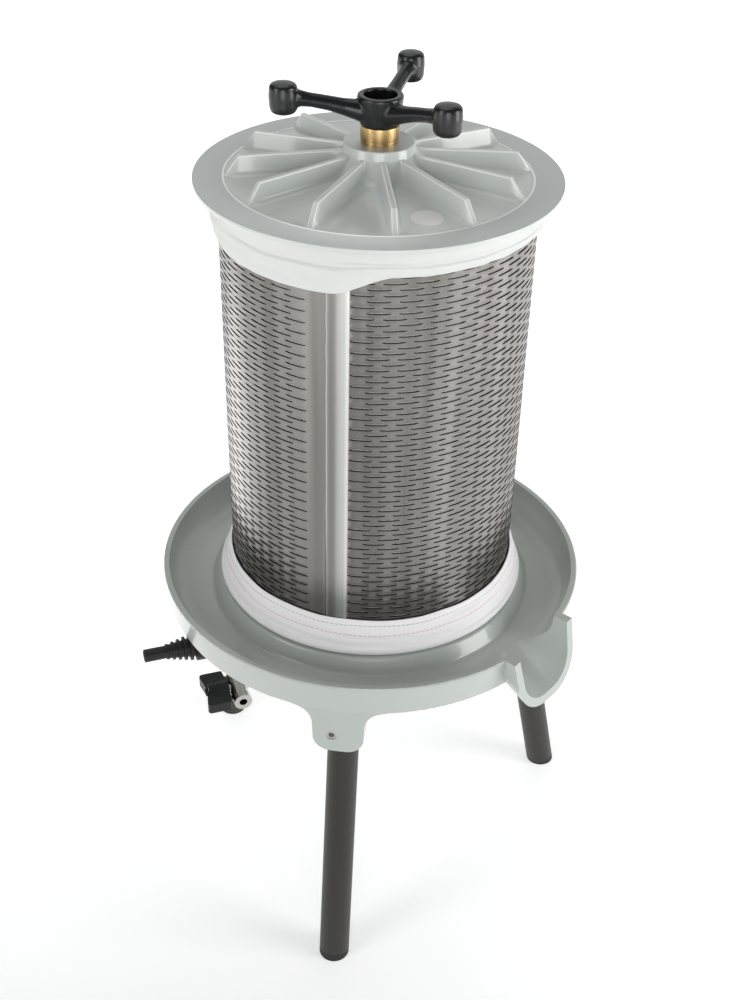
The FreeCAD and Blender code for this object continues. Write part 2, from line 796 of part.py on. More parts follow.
def make_membrane():
    """The rubber sleeve, its two plugs on the column and the bands round its cuffs."""
    bore = "column_radius + running_gap"
    low = "seat_z + collar_thick"
    finished(turned_piece("plug_lower", [
        (bore, low),
        ("plug_flange", low, "1.5"),
        ("plug_flange", f"{low} + plug_lip", "1.5"),
        ("plug_radius", f"{low} + plug_lip"),
        ("plug_radius", f"{low} + plug_length", "2"),
        (bore, f"{low} + plug_length"),
    ]), "plug_lower")
    finished(turned_piece("plug_upper", [
        (bore, "plug_top"),
        ("plug_flange", "plug_top", "1.5"),
        ("plug_flange", "plug_top - plug_lip", "1.5"),
        ("plug_radius", "plug_top - plug_lip"),
        ("plug_radius", "plug_top - plug_length", "2"),
        (bore, "plug_top - plug_length"),
    ]), "plug_upper")
    neck = "plug_radius + running_gap"
    foot = f"{low} + plug_lip + running_gap"
    head = "plug_top - plug_lip - running_gap"
    finished(turned_piece("membrane", [
        (neck, foot),
        (f"{neck} + membrane_wall", foot),
        (f"{neck} + membrane_wall", f"{foot} + membrane_neck - 4", "4"),
        ("membrane_radius", f"{foot} + membrane_neck + 22", "30"),
        ("membrane_radius", f"{head} - membrane_neck - 22", "30"),
        (f"{neck} + membrane_wall", f"{head} - membrane_neck + 4", "4"),
        (f"{neck} + membrane_wall", head),
        (neck, head),
        (neck, f"{head} - membrane_neck + 6"),
        ("membrane_radius - membrane_wall", f"{head} - membrane_neck - 22", "26"),
        ("membrane_radius - membrane_wall", f"{foot} + membrane_neck + 22", "26"),
        (neck, f"{foot} + membrane_neck - 6"),
    ]), "membrane")
    inner = f"{neck} + membrane_wall + running_gap"
    for name, height in (("band_lower", f"{foot} + 8"), ("band_upper", f"{head} - 8 - band_high")):
        ring = cut_from(
            name + "_ring",
            joined(
                name + "_outer",
                round_bar(name + "_rim", f"{inner} + band_thick", "band_high"),
                block(name + "_housing", ("9", "14", "band_high"),
                      (f"{inner} - 1", "0 - 7", "0")),
                round_bar(name + "_screw", "3.5", "24", (f"{inner} + 6", "0 - 12", "band_high / 2"),
                          "rotationx(0 - 90)")),
            round_bar(name + "_inner", inner, "band_high + 2", ("0", "0", "0 - 1")))
        place(ring, ("0", "0", height))
        finished(ring, name)


def make_hand_nut():
    body = new_body("hand_nut")
    turned(body, "hub_turning", [
        ("bush_spigot + 0.02", "grip_z"),
        ("grip_hub - grip_taper", "grip_z", "1.5"),
        ("grip_hub", "grip_z + grip_high", "2"),
        ("grip_bore", "grip_z + grip_high", "1"),
        ("grip_bore", "bush_top"),
        ("bush_spigot + 0.02", "bush_top"),
    ])
    sections = []
    for part, distance in (("arm", "bush_spigot + 2"), ("waist", "0.55 * knob_reach"),
                           ("tip", "knob_reach - knob_radius / 2")):
        section = facing_sketch(body, part + "_section", "grip_start", distance)
        middle = f"grip_z + {part}_rise"
        add_outline(section, [
            (f"{sx} * {part}_wide / 2", f"{middle} + {sz} * {part}_high / 2", f"{part}_wide * 0.3")
            for sx, sz in ((-1, -1), (1, -1), (1, 1), (-1, 1))])
        sections.append(section)
    doc.recompute()
    arm = body.newObject("PartDesign::AdditiveLoft", "arm")
    arm.Profile = sections[0]
    arm.Sections = sections[1:]
    doc.recompute()
    knob_sketch = radial_sketch(body, "knob_outline", "grip_start")
    axis = knob_sketch.addGeometry(Part.LineSegment(
        FreeCAD.Vector(value("knob_reach"), 0, 0),
        FreeCAD.Vector(value("knob_reach"), value("knob_high"), 0)), True)
    for end, height in ((1, "0"), (2, "knob_high")):
        for kind, text in (("DistanceX", "knob_reach"), ("DistanceY", height)):
            index = knob_sketch.addConstraint(
                Sketcher.Constraint(kind, -1, 1, axis, end, value(text)))
            knob_sketch.setExpression(f"Constraints[{index}]", tied(text))
    low = "grip_z + knob_rise - knob_high / 2"
    high = "grip_z + knob_rise + knob_high / 2"
    add_outline(knob_sketch, [
        ("knob_reach", low),
        ("knob_reach + knob_radius - 1.5", low, "6"),
        ("knob_reach + knob_radius", f"{high} - 5", "4"),
        ("knob_reach + knob_radius - 5", high, "4"),
        ("knob_reach", high),
    ])
    doc.recompute()
    knob = body.newObject("PartDesign::Revolution", "knob")
    knob.Profile = knob_sketch
    knob.ReferenceAxis = (knob_sketch, ["Axis0"])
    knob.Angle = 360
    doc.recompute()
    patterned(body, "grips", [arm, knob], "grip_count")
    bored(body, "grub_hole", "grub_radius + running_gap", "grip_hub",
          around("grip_bore", "grub_angle", "grip_z + 0.78 * grip_high"), OUTWARD.format("grub_angle"))
    finished(body, "hand_nut")
    finished(turned_piece("brass_bush", [
        ("bore_radius", "nut_z"),
        ("bush_radius", "nut_z", "0.6"),
        ("bush_radius", "grip_z"),
        ("bush_spigot", "grip_z"),
        ("bush_spigot", "bush_top"),
        ("bore_radius", "bush_top"),
    ]), "brass_bush")
    finished(turned_piece("thrust_washer", [
        ("bore_radius", "hub_top"),
        ("bush_radius - 0.5", "hub_top"),
        ("bush_radius - 0.5", "nut_z", "0.6"),
        ("bore_radius", "nut_z"),
    ]), "thrust_washer")
    grub = round_bar("grub_screw", "grub_radius", "grip_hub - grip_bore - 2")
    place(grub, around("grip_bore + 0.8", "grub_angle", "grip_z + 0.78 * grip_high"),
          OUTWARD.format("grub_angle"))
    finished(grub, "grub_screw")


def line_point(along, aside="0", up="0"):
    """A point of the air line: outwards along it, to one side of it and up from it."""
    x, y, _ = around(along, "line_angle", "0")
    return (f"{x} + ({aside}) * cos(line_angle)", f"{y} + ({aside}) * sin(line_angle)",
            f"line_z + ({up})")


ALONG = OUTWARD.format("line_angle")
ASIDE = OUTWARD.format("(line_angle + 90)")


def make_air_line():
    """Block under the column, pipe to a tee, inlet tail and the pipe to the valve."""
    solid = joined(
        "block_solid",
        round_bar("block_barrel", "block_radius", "block_high", ("0", "0", "block_z")),
        round_bar("block_port", "tee_radius", "block_radius + 14", line_point("0"), ALONG))
    finished(cut_from(
        "air_block",
        solid,
        round_bar("block_socket", "bore_radius", "block_high", ("0", "0", "block_z + 8")),
        round_bar("block_way", "line_radius - line_wall", "block_radius + 20", line_point("0"), ALONG),
        round_bar("block_seat", "line_radius + running_gap", "10", line_point("block_radius + 6"), ALONG),
        round_bar("block_relief", "4.05", "10", ("0", "0", "block_z - 1"))), "air_block")
    finished(cut_from(
        "relief_valve",
        joined(
            "relief_solid",
            round_bar("relief_neck", "4", "8", ("0", "0", "block_z")),
            hex_bar("relief_hex", "14", "7", ("0", "0", "block_z - 7")),
            round_bar("relief_cap", "5.5", "16", ("0", "0", "block_z - 22"))),
        round_bar("relief_way", "1.5", "26", ("0", "0", "block_z - 17"))), "relief_valve")
    inner = "line_radius - line_wall"
    start = "block_radius + 6.3"
    finished(cut_from(
        "inlet_pipe",
        round_bar("inlet_pipe_outer", "line_radius", f"tee_reach - tee_arm + 7.7 - ({start})",
                  line_point(start), ALONG),
        round_bar("inlet_pipe_bore", inner, "tee_reach", line_point(start), ALONG)), "inlet_pipe")
    finished(cut_from(
        "air_tee",
        joined(
            "tee_solid",
            round_bar("tee_run", "tee_radius", "2 * tee_arm", line_point("tee_reach - tee_arm"), ALONG),
            round_bar("tee_branch", "tee_radius", "tee_arm", line_point("tee_reach"), ASIDE)),
        round_bar("tee_way", inner, "2 * tee_arm", line_point("tee_reach - tee_arm"), ALONG),
        round_bar("tee_branch_way", inner, "tee_arm", line_point("tee_reach"), ASIDE),
        round_bar("tee_seat_in", "line_radius + running_gap", "8", line_point("tee_reach - tee_arm"), ALONG),
        round_bar("tee_seat_out", "line_radius + running_gap", "8",
                  line_point("tee_reach + tee_arm - 8"), ALONG),
        round_bar("tee_seat_side", "line_radius + running_gap", "8",
                  line_point("tee_reach", "tee_arm - 8"), ASIDE)), "air_tee")
    side_start = "tee_arm - 7.7"
    side_end = "valve_aside - valve_length / 2 + 8"
    finished(cut_from(
        "valve_pipe",
        round_bar("valve_pipe_outer", "line_radius", f"{side_end} - ({side_start})",
                  line_point("tee_reach", side_start), ASIDE),
        round_bar("valve_pipe_bore", inner, "valve_aside", line_point("tee_reach", side_start), ASIDE)),
        "valve_pipe")
    tail = turned_piece("hose_tail", [
        ("tail_bore", "0"),
        ("line_radius", "0"),
        ("line_radius", "8.5"),
        ("tail_radius", "9.5"),
        ("tail_radius", "tail_length", "0.8"),
        ("tail_bore", "tail_length"),
    ])
    place(tail, line_point("tee_reach + tee_arm - 7.7"), ALONG)
    finished(tail, "hose_tail")


def make_boot():
    """The ribbed rubber kink guard: a plain base, ribs that shrink, and a plain collar."""
    body = new_body("kink_guard")
    hole = "tail_radius + running_gap"
    corners = [(hole, "0"), ("boot_large", "0")]
    count = int(value("boot_ribs"))
    pitch = "((boot_length - boot_collar - boot_base) / boot_ribs)"
    for i in range(count):
        crest = f"(boot_large - (boot_large - boot_small) * {i} / boot_ribs)"
        corners += [
            (crest, f"boot_base + {pitch} * {i + 0.42}"),
            (f"({crest} + boot_small) / 2 - 0.7", f"boot_base + {pitch} * {i + 0.5}"),
            (f"({crest} + boot_small) / 2 - 0.9", f"boot_base + {pitch} * {i + 0.94}"),
            (f"(boot_large - (boot_large - boot_small) * {i + 1} / boot_ribs)",
             f"boot_base + {pitch} * {i + 1}"),
        ]
    corners += [("boot_small", "boot_length", "1"), (hole, "boot_length")]
    turned(body, "boot_turning", corners)
    place(body, line_point("boot_start"), ALONG)
    finished(body, "kink_guard")


def make_valve():
    """Ball valve: its way runs aside from the line, and its stem points outwards."""
    here = line_point("tee_reach", "valve_aside")
    half = "(valve_length / 2)"
    seat = "(ball_radius + 1)"
    over_stem = "stem_radius + running_gap"
    outwards = "rotationy(0 - 90)"
    valve_body = cut_from(
        "valve_body",
        joined(
            "valve_solid",
            round_bar("valve_barrel", "valve_radius", f"{half} + {seat} + 4", ("0", "0", f"0 - {half}")),
            hex_bar("valve_hex", "valve_flats", "12", ("0", "0", f"0 - {half}")),
            round_bar("valve_neck", "stem_radius + 2.5", "handle_low - 0.5", turn=outwards)),
        round_bar("valve_way", "valve_bore", "valve_length", ("0", "0", f"0 - {half}")),
        round_bar("valve_chamber", "ball_radius + running_gap", "valve_length", ("0", "0", f"0 - {seat}")),
        round_bar("valve_inlet", "line_radius + running_gap", "8.3", ("0", "0", f"0 - {half}")),
        round_bar("valve_stem_hole", over_stem, "2 * valve_radius", turn=outwards))
    valve_end = cut_from(
        "valve_end",
        joined(
            "valve_end_solid",
            round_bar("valve_end_plug", "ball_radius", f"{half} - {seat} - 0.3", ("0", "0", f"{seat} + 0.3")),
            hex_bar("valve_end_hex", "valve_flats", "6", ("0", "0", f"{seat} + 4")),
            round_bar("valve_end_barrel", "valve_radius", f"{half} - {seat} - 4",
                      ("0", "0", f"{seat} + 4"))),
        round_bar("valve_end_way", "valve_bore", "valve_length"))
    ball = doc.addObject("Part::Sphere", "valve_ball_sphere")
    bind(ball, Radius="ball_radius - running_gap")
    valve_ball = cut_from(
        "valve_ball", ball,
        round_bar("valve_ball_way", "valve_bore", "4 * ball_radius", ("0", "0", "0 - 2 * ball_radius")),
        block("valve_ball_slot", ("4", "2.4", "9"), ("0 - ball_radius - 1.8", "0 - 1.2", "0 - 4.5")))
    valve_stem = joined(
        "valve_stem",
        round_bar("stem_bar", "stem_radius", "stem_reach - ball_radius", ("0 - ball_radius", "0", "0"),
                  outwards),
        block("stem_tang", ("2.5", "2.2", "4"), ("0 - ball_radius - 0.5", "0 - 1.1", "0 - 2")))
    nut_low = "0 - handle_low - handle_deep + stem_nut"
    handle_nut = cut_from(
        "handle_nut",
        hex_bar("handle_nut_hex", "9", "3.5", (nut_low, "0", "0"), outwards),
        round_bar("handle_nut_bore", over_stem, "60", turn=outwards))
    for piece in (valve_body, valve_end, valve_ball, valve_stem, handle_nut):
        place(piece, here, ASIDE)
        finished(piece, piece.Name)
    body = new_body("valve_handle")
    wings = new_sketch(body, "handle_outline")
    high = "(handle_low + handle_deep)"
    add_outline(wings, [
        ("0 - handle_low - handle_sweep * 0.4", "0 - handle_half", "2"),
        ("0 - handle_low", "0 - 0.3 * handle_half", "40"),
        ("0 - handle_low", "0.3 * handle_half", "40"),
        ("0 - handle_low - handle_sweep * 0.4", "handle_half", "2"),
        (f"0 - {high} - handle_sweep", "handle_half", "4"),
        (f"0 - {high}", "0", "50"),
        (f"0 - {high} - handle_sweep", "0 - handle_half", "4"),
    ])
    padded(body, "handle_wings", wings, "handle_thick", both_ways=True)
    bored(body, "handle_boss", "handle_hub", "handle_deep - 1", ("0 - handle_low", "0", "0"), outwards,
          kind="PartDesign::AdditiveCylinder")
    bored(body, "handle_bore", over_stem, "60", ("0", "0", "0"), outwards)
    bored(body, "handle_recess", "handle_pocket", "20", (nut_low, "0", "0"), outwards)
    place(body, here, ASIDE + " * rotationx(handle_angle)")
    finished(body, "valve_handle")


make_tray()
make_legs()
make_leg_screws()
make_basket()
make_bag()
make_lid()
make_column()
make_column_nuts()
make_membrane()
make_hand_nut()
make_air_line()
make_boot()
make_valve()
doc.recompute()

for thing in doc.Objects:
    if "Invalid" in thing.State or "Error" in thing.State:
        raise RuntimeError(f"{thing.Name} failed: {thing.State}")
for name, piece in SUBPARTS:
    if piece.Shape.isNull() or not piece.Shape.isValid():
        raise RuntimeError(f"{name} has no valid shape")
    piece.Shape.exportStep(f"parts/{name}.step")
print(len(SUBPARTS), "sub-parts written")
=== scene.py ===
# %% [markdown]
# # A fruit press that works with air
# A slotted steel basket stands in a cast tray on three legs. Air swells a rubber membrane
# inside the basket and pushes the fruit through a cloth bag and out of the slots.
# The rigid frame was made in CAD and is loaded as it is. Blender adds what CAD leaves plain:
# thousands of slots, folded cloth, cast ribs with soft roots, and every finish.

# %% Load the frame
import math
import bmesh
import bpy
from mathutils import Matrix, Vector, noise


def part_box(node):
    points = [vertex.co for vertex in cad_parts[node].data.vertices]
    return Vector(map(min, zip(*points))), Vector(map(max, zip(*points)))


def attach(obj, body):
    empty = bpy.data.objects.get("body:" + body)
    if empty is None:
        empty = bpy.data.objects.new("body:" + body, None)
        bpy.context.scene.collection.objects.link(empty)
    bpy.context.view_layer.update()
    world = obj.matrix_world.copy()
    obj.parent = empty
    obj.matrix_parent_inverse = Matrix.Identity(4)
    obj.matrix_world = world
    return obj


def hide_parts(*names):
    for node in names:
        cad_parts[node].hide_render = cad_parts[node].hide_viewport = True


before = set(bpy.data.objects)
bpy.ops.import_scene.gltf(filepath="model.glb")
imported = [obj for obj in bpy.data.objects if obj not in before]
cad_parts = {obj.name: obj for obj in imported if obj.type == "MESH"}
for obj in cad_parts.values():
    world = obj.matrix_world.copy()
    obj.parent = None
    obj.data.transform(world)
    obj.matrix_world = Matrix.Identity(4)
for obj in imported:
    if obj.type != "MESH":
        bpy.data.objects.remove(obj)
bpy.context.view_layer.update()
MM = 0.001

# %% [markdown]
# ## The camera and the room
# The photographer stood in front of the press, a little to its left, and looked down at it by
# about 35 degrees. The position and the lens were worked out from the round rims of the lid
# and the tray, which the picture shows as ellipses. The tray's spout points along -Y.

# %% Camera
CAMERA_PLACE = (-0.9803, -0.8226, 1.3687)
CAMERA_HEADING = math.radians(-50.17)
CAMERA_PITCH = math.radians(34.744)
CAMERA_ROLL = math.radians(1.358)
CAMERA_LENS = 48.80


def make_camera():
    """Aims a camera by heading, then pitch, then roll about its own axis."""
    lens = bpy.data.cameras.new("camera")
    lens.lens = CAMERA_LENS
    lens.sensor_width = 36.0
    camera = bpy.data.objects.new("camera", lens)
    turn = (Matrix.Rotation(CAMERA_HEADING, 4, "Z")
            @ Matrix.Rotation(math.pi / 2 - CAMERA_PITCH, 4, "X")
            @ Matrix.Rotation(CAMERA_ROLL, 4, "Z"))
    camera.matrix_world = Matrix.Translation(CAMERA_PLACE) @ turn
    bpy.context.collection.objects.link(camera)
    bpy.context.scene.camera = camera
    return camera


camera = make_camera()
print("camera at", [round(v, 3) for v in camera.location])

# %% [markdown]
# A colour on screen is an sRGB value, and the shaders count in linear light. One function turns
# a hex code into linear numbers. A second one adds a shader node with its settings and links,
# so that each material reads as a list of what it is made of.

# %% Colour and node helpers


def linear(hex_code):
    """Linear RGBA of an sRGB hex colour."""
    parts = [int(hex_code[i:i + 2], 16) / 255 for i in (0, 2, 4)]
    return [c / 12.92 if c <= 0.04045 else ((c + 0.055) / 1.055) ** 2.4 for c in parts] + [1.0]


def add_node(tree, kind, inputs=None, **settings):
    """Adds a shader node. An input is a number, a colour or another node's output."""
    made = tree.nodes.new(kind)
    for name, setting in settings.items():
        setattr(made, name, setting)
    for name, given in (inputs or {}).items():
        if isinstance(given, bpy.types.NodeSocket):
            tree.links.new(given, made.inputs[name])
        else:
            made.inputs[name].default_value = given
    return made


def start_material(name, **sockets):
    """A material with a Principled shader. Socket names are written with underscores."""
    material = bpy.data.materials.new(name)
    material.use_nodes = True
    tree = material.node_tree
    shader = tree.nodes["Principled BSDF"]
    for socket, given in sockets.items():
        shader.inputs[socket.replace("_", " ")].default_value = given
    return material, tree, shader


def object_place(tree):
    """Object coordinates, in metres, on which every pattern here is laid."""
    return add_node(tree, "ShaderNodeTexCoord").outputs["Object"]


def bump_from(tree, shader, height, depth, strength=1.0):
    """Turns a height pattern into bump; depth is its real depth in metres."""
    bump = add_node(tree, "ShaderNodeBump", {
        "Height": height, "Distance": depth, "Strength": strength})
    tree.links.new(bump.outputs["Normal"], shader.inputs["Normal"])
    return bump


def per_metre(millimetres):
    """Texture scale whose features are about so many millimetres wide."""
    return 1000.0 / millimetres


# %% [markdown]
# ## Floor and light
# The photograph is bright and even: big soft boxes stand at both sides of the camera, low
# enough that upright faces are lighter than level ones. The floor is plain and pale, and it
# glows a little: painted light.

# %% Floor
FLOOR_SHADE_PLACE = (-1.05, -0.55, 0.0)
FLOOR_GLOW_PLACE = (-0.26, 1.12, 0.0)


def make_floor():
    """A large pale disc that glows: painted light, brighter away from the photographer and in a
    patch behind the press.

    Upright metal seen from above mirrors the floor: the patch shows in the basket's left side.
    """
    shape = bmesh.new()
    bmesh.ops.create_circle(shape, cap_ends=True, radius=14.0, segments=96)
    mesh = bpy.data.meshes.new("floor")
    shape.to_mesh(mesh)
    shape.free()
    floor = bpy.data.objects.new("floor", mesh)
    bpy.context.collection.objects.link(floor)
    material, tree, shader = start_material(
        "floor_paper", Base_Color=linear("F0F0F0"), Roughness=0.9,
        Emission_Color=linear("FFFFFF"))
    offset = add_node(tree, "ShaderNodeVectorMath", {
        0: object_place(tree), 1: FLOOR_SHADE_PLACE}, operation="DISTANCE")
    glow = add_node(tree, "ShaderNodeMapRange", {
        "Value": offset.outputs["Value"], "From Min": 0.3, "From Max": 1.3,
        "To Min": 0.12, "To Max": 0.5}, interpolation_type="SMOOTHERSTEP")
    behind = add_node(tree, "ShaderNodeVectorMath", {
        0: object_place(tree), 1: FLOOR_GLOW_PLACE}, operation="DISTANCE")
    patch = add_node(tree, "ShaderNodeMapRange", {
        "Value": behind.outputs["Value"], "From Min": 0.2, "From Max": 0.85,
        "To Min": 1.25, "To Max": 0.0}, interpolation_type="SMOOTHERSTEP")
    far = add_node(tree, "ShaderNodeMapRange", {
        "Value": offset.outputs["Value"], "From Min": 1.7, "From Max": 3.2,
        "To Min": 0.0, "To Max": 0.4}, interpolation_type="SMOOTHERSTEP")
    near_glow = add_node(tree, "ShaderNodeMath", {
        0: glow.outputs["Result"], 1: patch.outputs["Result"]}, operation="ADD")
    whole_glow = add_node(tree, "ShaderNodeMath", {
        0: near_glow.outputs["Value"], 1: far.outputs["Result"]}, operation="ADD")
    # The floor's glow is painted light, strongest in the patch behind the press.
    tree.links.new(whole_glow.outputs["Value"], shader.inputs["Emission Strength"])
    floor.data.materials.append(material)
    return floor


make_floor()

# %% Lights
MIDDLE = Vector((0, 0, 0.6))


def add_softbox(name, place, size, power):
    """A white rectangular area light at a place, facing the middle of the press."""
    light = bpy.data.lights.new(name, "AREA")
    light.shape = "RECTANGLE"
    light.size, light.size_y = size
    light.energy = power
    box = bpy.data.objects.new(name, light)
    box.location = place
    box.rotation_euler = (MIDDLE - Vector(place)).to_track_quat("-Z", "Y").to_euler()
    box.visible_camera = False
    bpy.context.collection.objects.link(box)
    return box


def around(azimuth, distance, height):
    """A place round the press: azimuth 0 is in front of the spout, 90 is on the +X side."""
    angle = math.radians(azimuth)
    return (distance * math.sin(angle), -distance * math.cos(angle), height)


world = bpy.data.worlds.new("studio")
world.use_nodes = True
world.node_tree.nodes["Background"].inputs["Color"].default_value = linear("F4F6F8")
world.node_tree.nodes["Background"].inputs["Strength"].default_value = 0.15
bpy.context.scene.world = world
bpy.context.scene.view_settings.view_transform = "Standard"
add_softbox("key", around(-105, 2.6, 1.5), (1.0, 2.2), 22)
add_softbox("front", around(-50, 3.2, 1.1), (1.6, 1.6), 28)
add_softbox("fill", around(25, 2.8, 1.2), (1.4, 2.0), 44)
add_softbox("top", (0.2, 0.6, 3.0), (2.0, 2.0), 15)
add_softbox("backdrop", around(120, 3.6, 2.1), (6.5, 3.4), 38)

# %% [markdown]
# ## Finishes of the metal parts
# Tray and lid are aluminium castings with a stoved enamel: a pale grey-green skin, satin, with
# the faint orange peel of sprayed paint over the sand-cast surface.

# %% Enamel


def enamel(name, hex_code, crest_hex):
    """Sprayed enamel on cast aluminium: peel 3 mm wide over casting waves 25 mm wide.

    Where a mesh's crest-highlight attribute is 1, the colour is lighter: a painted highlight along
    the ribs' crest edges.
    """
    material, tree, shader = start_material(
        name, Base_Color=linear(hex_code), Roughness=0.3, IOR=1.5, Coat_Weight=0.7,
        Coat_Roughness=0.08)
    place = object_place(tree)
    peel = add_node(tree, "ShaderNodeTexNoise", {
        "Vector": place, "Scale": per_metre(3.0), "Detail": 2.0})
    waves = add_node(tree, "ShaderNodeTexNoise", {
        "Vector": place, "Scale": per_metre(25.0), "Detail": 1.0})
    both = add_node(tree, "ShaderNodeMath", {
        0: peel.outputs["Fac"], 1: 0.25, 2: waves.outputs["Fac"]}, operation="MULTIPLY_ADD")
    bump_from(tree, shader, both.outputs["Value"], 0.00018, 0.5)
    rough = add_node(tree, "ShaderNodeMapRange", {
        "Value": waves.outputs["Fac"], "To Min": 0.26, "To Max": 0.36})
    tree.links.new(rough.outputs["Result"], shader.inputs["Roughness"])
    # Painted highlight: a lighter colour where the crest attribute is 1.
    crest = add_node(tree, "ShaderNodeAttribute", attribute_name="crest")
    tone = add_node(tree, "ShaderNodeMixRGB", {
        "Fac": crest.outputs["Fac"], "Color1": linear(hex_code), "Color2": linear(crest_hex)})
    tree.links.new(tone.outputs["Color"], shader.inputs["Base Color"])
    return material


# Lid and tray wear the same enamel; the lid's copy is painted lighter and the tray's darker:
# painted light and painted shade.
tray_enamel = enamel("enamel_tray", "B6BDB8", "D4DAD6")
lid_enamel = enamel("enamel_lid", "D1D7D3", "FAFCFA")

# %% [markdown]
# The lid's rim and hub were left bare and turned on a lathe, so they are metal with a fine
# grain. A metal keeps the default IOR, and its colour is its reflection.

# %% Turned and rolled metals


def turned_metal(name, hex_code, roughness, line_mm, depth=0.00004):
    """Metal turned on a lathe about the column: fine rings, a line width apart."""
    material, tree, shader = start_material(
        name, Base_Color=linear(hex_code), Metallic=1.0, Roughness=roughness)
    place = object_place(tree)
    rings = add_node(tree, "ShaderNodeTexWave", {
        "Vector": place, "Scale": per_metre(line_mm) / 20, "Distortion": 0.6, "Detail": 1.0},
        wave_type="RINGS", rings_direction="Z")
    grain = add_node(tree, "ShaderNodeTexNoise", {
        "Vector": place, "Scale": per_metre(1.2), "Detail": 2.0})
    both = add_node(tree, "ShaderNodeMath", {
        0: rings.outputs["Fac"], 1: grain.outputs["Fac"]}, operation="ADD")
    bump_from(tree, shader, both.outputs["Value"], depth, 0.6)
    rough = add_node(tree, "ShaderNodeMapRange", {
        "Value": grain.outputs["Fac"], "To Min": roughness - 0.06, "To Max": roughness + 0.08})
    tree.links.new(rough.outputs["Result"], shader.inputs["Roughness"])
    return material


def plain_metal(name, hex_code, roughness, grain_mm=1.0):
    """Plated or drawn metal with only a fine grain."""
    material, tree, shader = start_material(
        name, Base_Color=linear(hex_code), Metallic=1.0, Roughness=roughness)
    grain = add_node(tree, "ShaderNodeTexNoise", {
        "Vector": object_place(tree), "Scale": per_metre(grain_mm), "Detail": 2.0})
    bump_from(tree, shader, grain.outputs["Fac"], 0.00003, 0.4)
    return material


def rolled_sheet(name, dark_hex, light_hex, polish_and_highlight_hex):
    """Cold-rolled stainless sheet: faint streaks up the sheet, broad bands and a soft sheen.

    Where the mesh's attribute for this is 1, the metal is painted brighter: a ground weld, and
    beside it a painted highlight band on the plain strip.
    """
    material, tree, shader = start_material(name, Metallic=1.0, Roughness=0.3)
    place = add_node(tree, "ShaderNodeMapping", {
        "Vector": object_place(tree), "Scale": (1.0, 1.0, 0.03)})
    streaks = add_node(tree, "ShaderNodeTexNoise", {
        "Vector": place.outputs["Vector"], "Scale": per_metre(1.5), "Detail": 3.0})
    bump_from(tree, shader, streaks.outputs["Fac"], 0.00003, 0.5)
    rough = add_node(tree, "ShaderNodeMapRange", {
        "Value": streaks.outputs["Fac"], "To Min": 0.24, "To Max": 0.36})
    tree.links.new(rough.outputs["Result"], shader.inputs["Roughness"])
    bands = add_node(tree, "ShaderNodeTexNoise", {
        "Vector": place.outputs["Vector"], "Scale": per_metre(24.0), "Detail": 2.0})
    share = add_node(tree, "ShaderNodeMapRange", {
        "Value": bands.outputs["Fac"], "From Min": 0.35, "From Max": 0.65})
    tone = add_node(tree, "ShaderNodeMixRGB", {
        "Fac": share.outputs["Result"], "Color1": linear(dark_hex), "Color2": linear(light_hex)})
    # Painted brightening: a ground weld and a painted highlight band on the strip.
    polish_and_highlight = add_node(tree, "ShaderNodeAttribute", attribute_name="polish_and_highlight")
    polish_and_highlight_tone = add_node(tree, "ShaderNodeMixRGB", {
        "Fac": polish_and_highlight.outputs["Fac"], "Color1": tone.outputs["Color"],
        "Color2": linear(polish_and_highlight_hex)})
    tree.links.new(polish_and_highlight_tone.outputs["Color"], shader.inputs["Base Color"])
    return material


lid_machined = turned_metal("machined_aluminium", "D0D4D2", 0.5, 1.0)
# A near-white copy of the turned metal for the bead round the pan: a painted highlight line.
turned_edge_highlight = turned_metal("turned_edge_highlight", "FBFCFB", 0.45, 1.0)
bush_brass = turned_metal("turned_brass", "D3B27C", 0.28, 0.8, 0.00008)
sheet_steel = rolled_sheet("rolled_stainless", "7C7874", "989490", "F2F3EE")
# Near-black metal for the slots' walls, painted shade inside the slots; it also darkens the weld's
# line.
slot_shade_and_weld_line = plain_metal("painted_slot_shade_and_weld", "2A2725", 0.6)
zinc_steel = plain_metal("zinc_plate", "C3C4C2", 0.32)
nickel = plain_metal("nickel_plate", "C9C6BF", 0.2)
chrome_ball = plain_metal("chrome_plate", "DADCDD", 0.08)
black_steel = plain_metal("black_oxide", "2B2B2B", 0.4)
print("metals:", [m.name for m in (lid_machined, bush_brass, sheet_steel, zinc_steel, nickel)])

# %% [markdown]
# ## Paint, plastic, rubber and cloth
# Dielectrics share an IOR near 1.5; what tells them apart is how rough they are and what
# small shapes lie on them.

# %% Non-metals


def coated(name, hex_code, roughness, grain_mm, depth, **more):
    """Paint, moulded plastic or rubber: one colour over a fine even grain."""
    material, tree, shader = start_material(
        name, Base_Color=linear(hex_code), Roughness=roughness, IOR=1.5, **more)
    grain = add_node(tree, "ShaderNodeTexNoise", {
        "Vector": object_place(tree), "Scale": per_metre(grain_mm), "Detail": 2.0})
    bump_from(tree, shader, grain.outputs["Fac"], depth, 0.5)
    rough = add_node(tree, "ShaderNodeMapRange", {
        "Value": grain.outputs["Fac"], "To Min": roughness - 0.05, "To Max": roughness + 0.07})
    tree.links.new(rough.outputs["Result"], shader.inputs["Roughness"])
    return material


